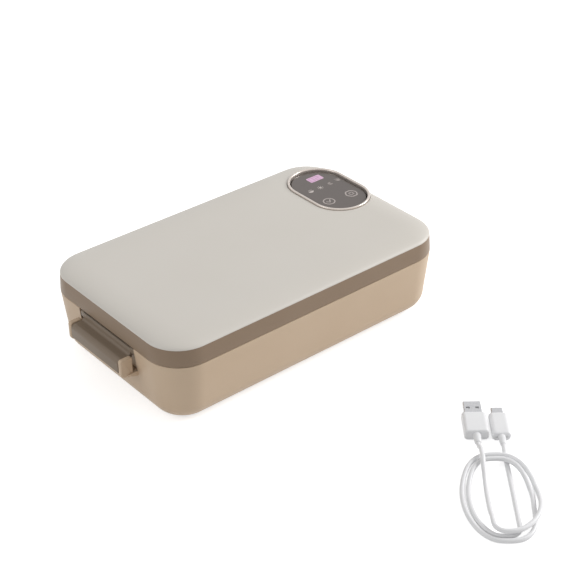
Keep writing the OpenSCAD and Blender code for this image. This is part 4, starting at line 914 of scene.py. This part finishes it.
# A six-sided ring with round corners, in two strokes, and a small square in it.
def roundedHexMark(cx, cy, radius, width):
    a = np.radians(np.arange(-60, 241, 60))
    ring = roundCorners(np.column_stack([cx + radius * np.cos(a), cy + radius * np.sin(a)]), radius * 0.45, 5)
    ring = np.roll(ring, -8, 0)
    half = len(ring) // 2
    square = [[cx - 1.5, cy - 1.5], [cx + 1.5, cy - 1.5], [cx + 1.5, cy + 1.5], [cx - 1.5, cy + 1.5]]
    sides = [stroke([square[i], square[(i + 1) % 4]], 0.7) for i in range(4)]
    return [stroke(ring[:half + 1], width), stroke(ring[half:], width)] + sides


keyMarks = ringStrokes(-10.1, -10.9, 4.7, 0.9) + [stroke([[-12.2, -10.2], [-10.4, -12.4], [-8.0, -9.0]], 1.0)]
keyMarks += roundedHexMark(10.1, -12.7, 4.8, 1.0)
seat(flatMark("keyMarks", keyMarks, glassTop, markFinishes["key"]), "lid", "lamp")
print("display made")

latchBar = {"half": 27.8, "wingHalf": 31.3, "pin": (-124.6, 34.9), "barrel": 3.2,
            "webs": (-27.8, -10.27, 8.27, 25.8), "webThick": 2}


# A hollow bar with a trough along its top, the hook plate behind it, the barrel and four webs.
def makeLatch(s):
    brown = finishes["latch_brown"]
    trough = roundCorners([[-127.0, 41.7], [-121.0, 41.5], [-120.3, 46.6]], [0, 2.2, 0], 10)
    outline = np.concatenate([
        arcRun(-127.4, 38.1, 3.6, 180, 84, 14), trough[1:-1],
        [[-120.3, 46.6], [-119.8, 47.2], [-118.8, 47.2], [-118.8, 43.8], [-117.7, 42.6], [-117.7, 40.8],
         [-118.8, 40.8], [-119.3, 39.3], [-121.6, 38.9], [-123.4, 38.9], [-127.0, 39.4], [-128.8, 37.8],
         [-128.8, 31.4], [-129.4, 30.8], [-130, 30.8], [-131, 31.8]]])
    plate = prism("latch", outline, -s["half"], s["half"], 0.5, brown, n=4)
    wings = [[-120.3, 43.1], [-120.3, 46.6], [-119.8, 47.2], [-118.8, 47.2], [-118.8, 43.1]]
    wings = roundCorners(wings, 0.2, 2)
    hookPlate = prism("hookPlate", wings, -s["wingHalf"], s["wingHalf"], 0.4, brown, n=4)
    barrel = prism("barrel", arcRun(*s["pin"], s["barrel"], 0, 350, 35), -s["half"], s["half"], 0.3, brown)
    web = [[-130, 32.9], [-124.6, 32.1], [-121.8, 34.9], [-119.8, 39.8], [-123.0, 39.8], [-127.0, 40.4],
           [-130, 38.4]]
    webs = [prism("web", web, y, y + s["webThick"], 0.2, brown) for y in s["webs"]]
    return joined("latch", [plate, hookPlate, barrel, *webs])


seat(makeLatch(latchBar), "latch", "latch_brown", "latch")
print("latch made")

light = {"world": 0.51, "floorLift": 0.62, "lamps": {
    "right": {"energy": 19.0, "place": (1.35, -0.65, 0.85), "size": 1.0},
    "left": {"energy": 4.5, "place": (-1.2, 0.35, 1.0), "size": 1.0}}}


# 1 for what the camera sees, also in a mirror or through glass, else 0.
def seenRays(tree):
    rays = tree.nodes.new("ShaderNodeLightPath")
    either = rays.outputs["Is Camera Ray"]
    for label in ("Is Glossy Ray", "Is Transmission Ray"):
        either = addMath(tree, "MAXIMUM", either, rays.outputs[label])
    return either


# Light's world strength for what lights the part, plain white for what is seen.
def makeWorld():
    world = bpy.data.worlds.new("room")
    world.use_nodes = True
    tree = world.node_tree
    tree.nodes.clear()
    soft, white = tree.nodes.new("ShaderNodeBackground"), tree.nodes.new("ShaderNodeBackground")
    soft.inputs["Color"].default_value = (1, 1, 1, 1)
    soft.inputs["Strength"].default_value = light["world"]
    white.inputs["Color"].default_value = (1, 1, 1, 1)
    white.inputs["Strength"].default_value = 1.0
    mix, out = tree.nodes.new("ShaderNodeMixShader"), tree.nodes.new("ShaderNodeOutputWorld")
    tree.links.new(seenRays(tree), mix.inputs[0])
    tree.links.new(soft.outputs[0], mix.inputs[1])
    tree.links.new(white.outputs[0], mix.inputs[2])
    tree.links.new(mix.outputs[0], out.inputs[0])
    bpy.context.scene.world = world


# A pale disc that keeps the part's shadow, lifted to white where it is seen.
def makeFloor():
    material = bpy.data.materials.new("floor")
    material.use_nodes = True
    tree = material.node_tree
    tree.nodes.clear()
    diffuse, glow = tree.nodes.new("ShaderNodeBsdfDiffuse"), tree.nodes.new("ShaderNodeEmission")
    add, out = tree.nodes.new("ShaderNodeAddShader"), tree.nodes.new("ShaderNodeOutputMaterial")
    diffuse.inputs["Color"].default_value = (0.8, 0.8, 0.8, 1)
    glow.inputs["Color"].default_value = (1, 1, 1, 1)
    tree.links.new(addMath(tree, "MULTIPLY", seenRays(tree), light["floorLift"]), glow.inputs["Strength"])
    tree.links.new(diffuse.outputs[0], add.inputs[0])
    tree.links.new(glow.outputs[0], add.inputs[1])
    tree.links.new(add.outputs[0], out.inputs["Surface"])
    floor = meshObject("floor", np.column_stack([arcRun(0, 0, 4000, 0, 354, 59), np.zeros(60)]),
                       [list(range(60))], material)


# A soft round lamp at its place, turned to face the origin.
def makeLamp(name, s):
    data = bpy.data.lights.new(name, "AREA")
    data.shape = "DISK"
    data.size = s["size"]
    data.energy = s["energy"]
    lamp = bpy.data.objects.new(name, data)
    lamp.location = s["place"]
    lamp.rotation_euler = (-lamp.location).to_track_quat("-Z", "Y").to_euler()
    bpy.context.scene.collection.objects.link(lamp)


makeWorld()
makeFloor()
for name, s in light["lamps"].items():
    makeLamp(name, s)
print("floor and light made")
bpy.context.scene.view_settings.view_transform = "Standard"
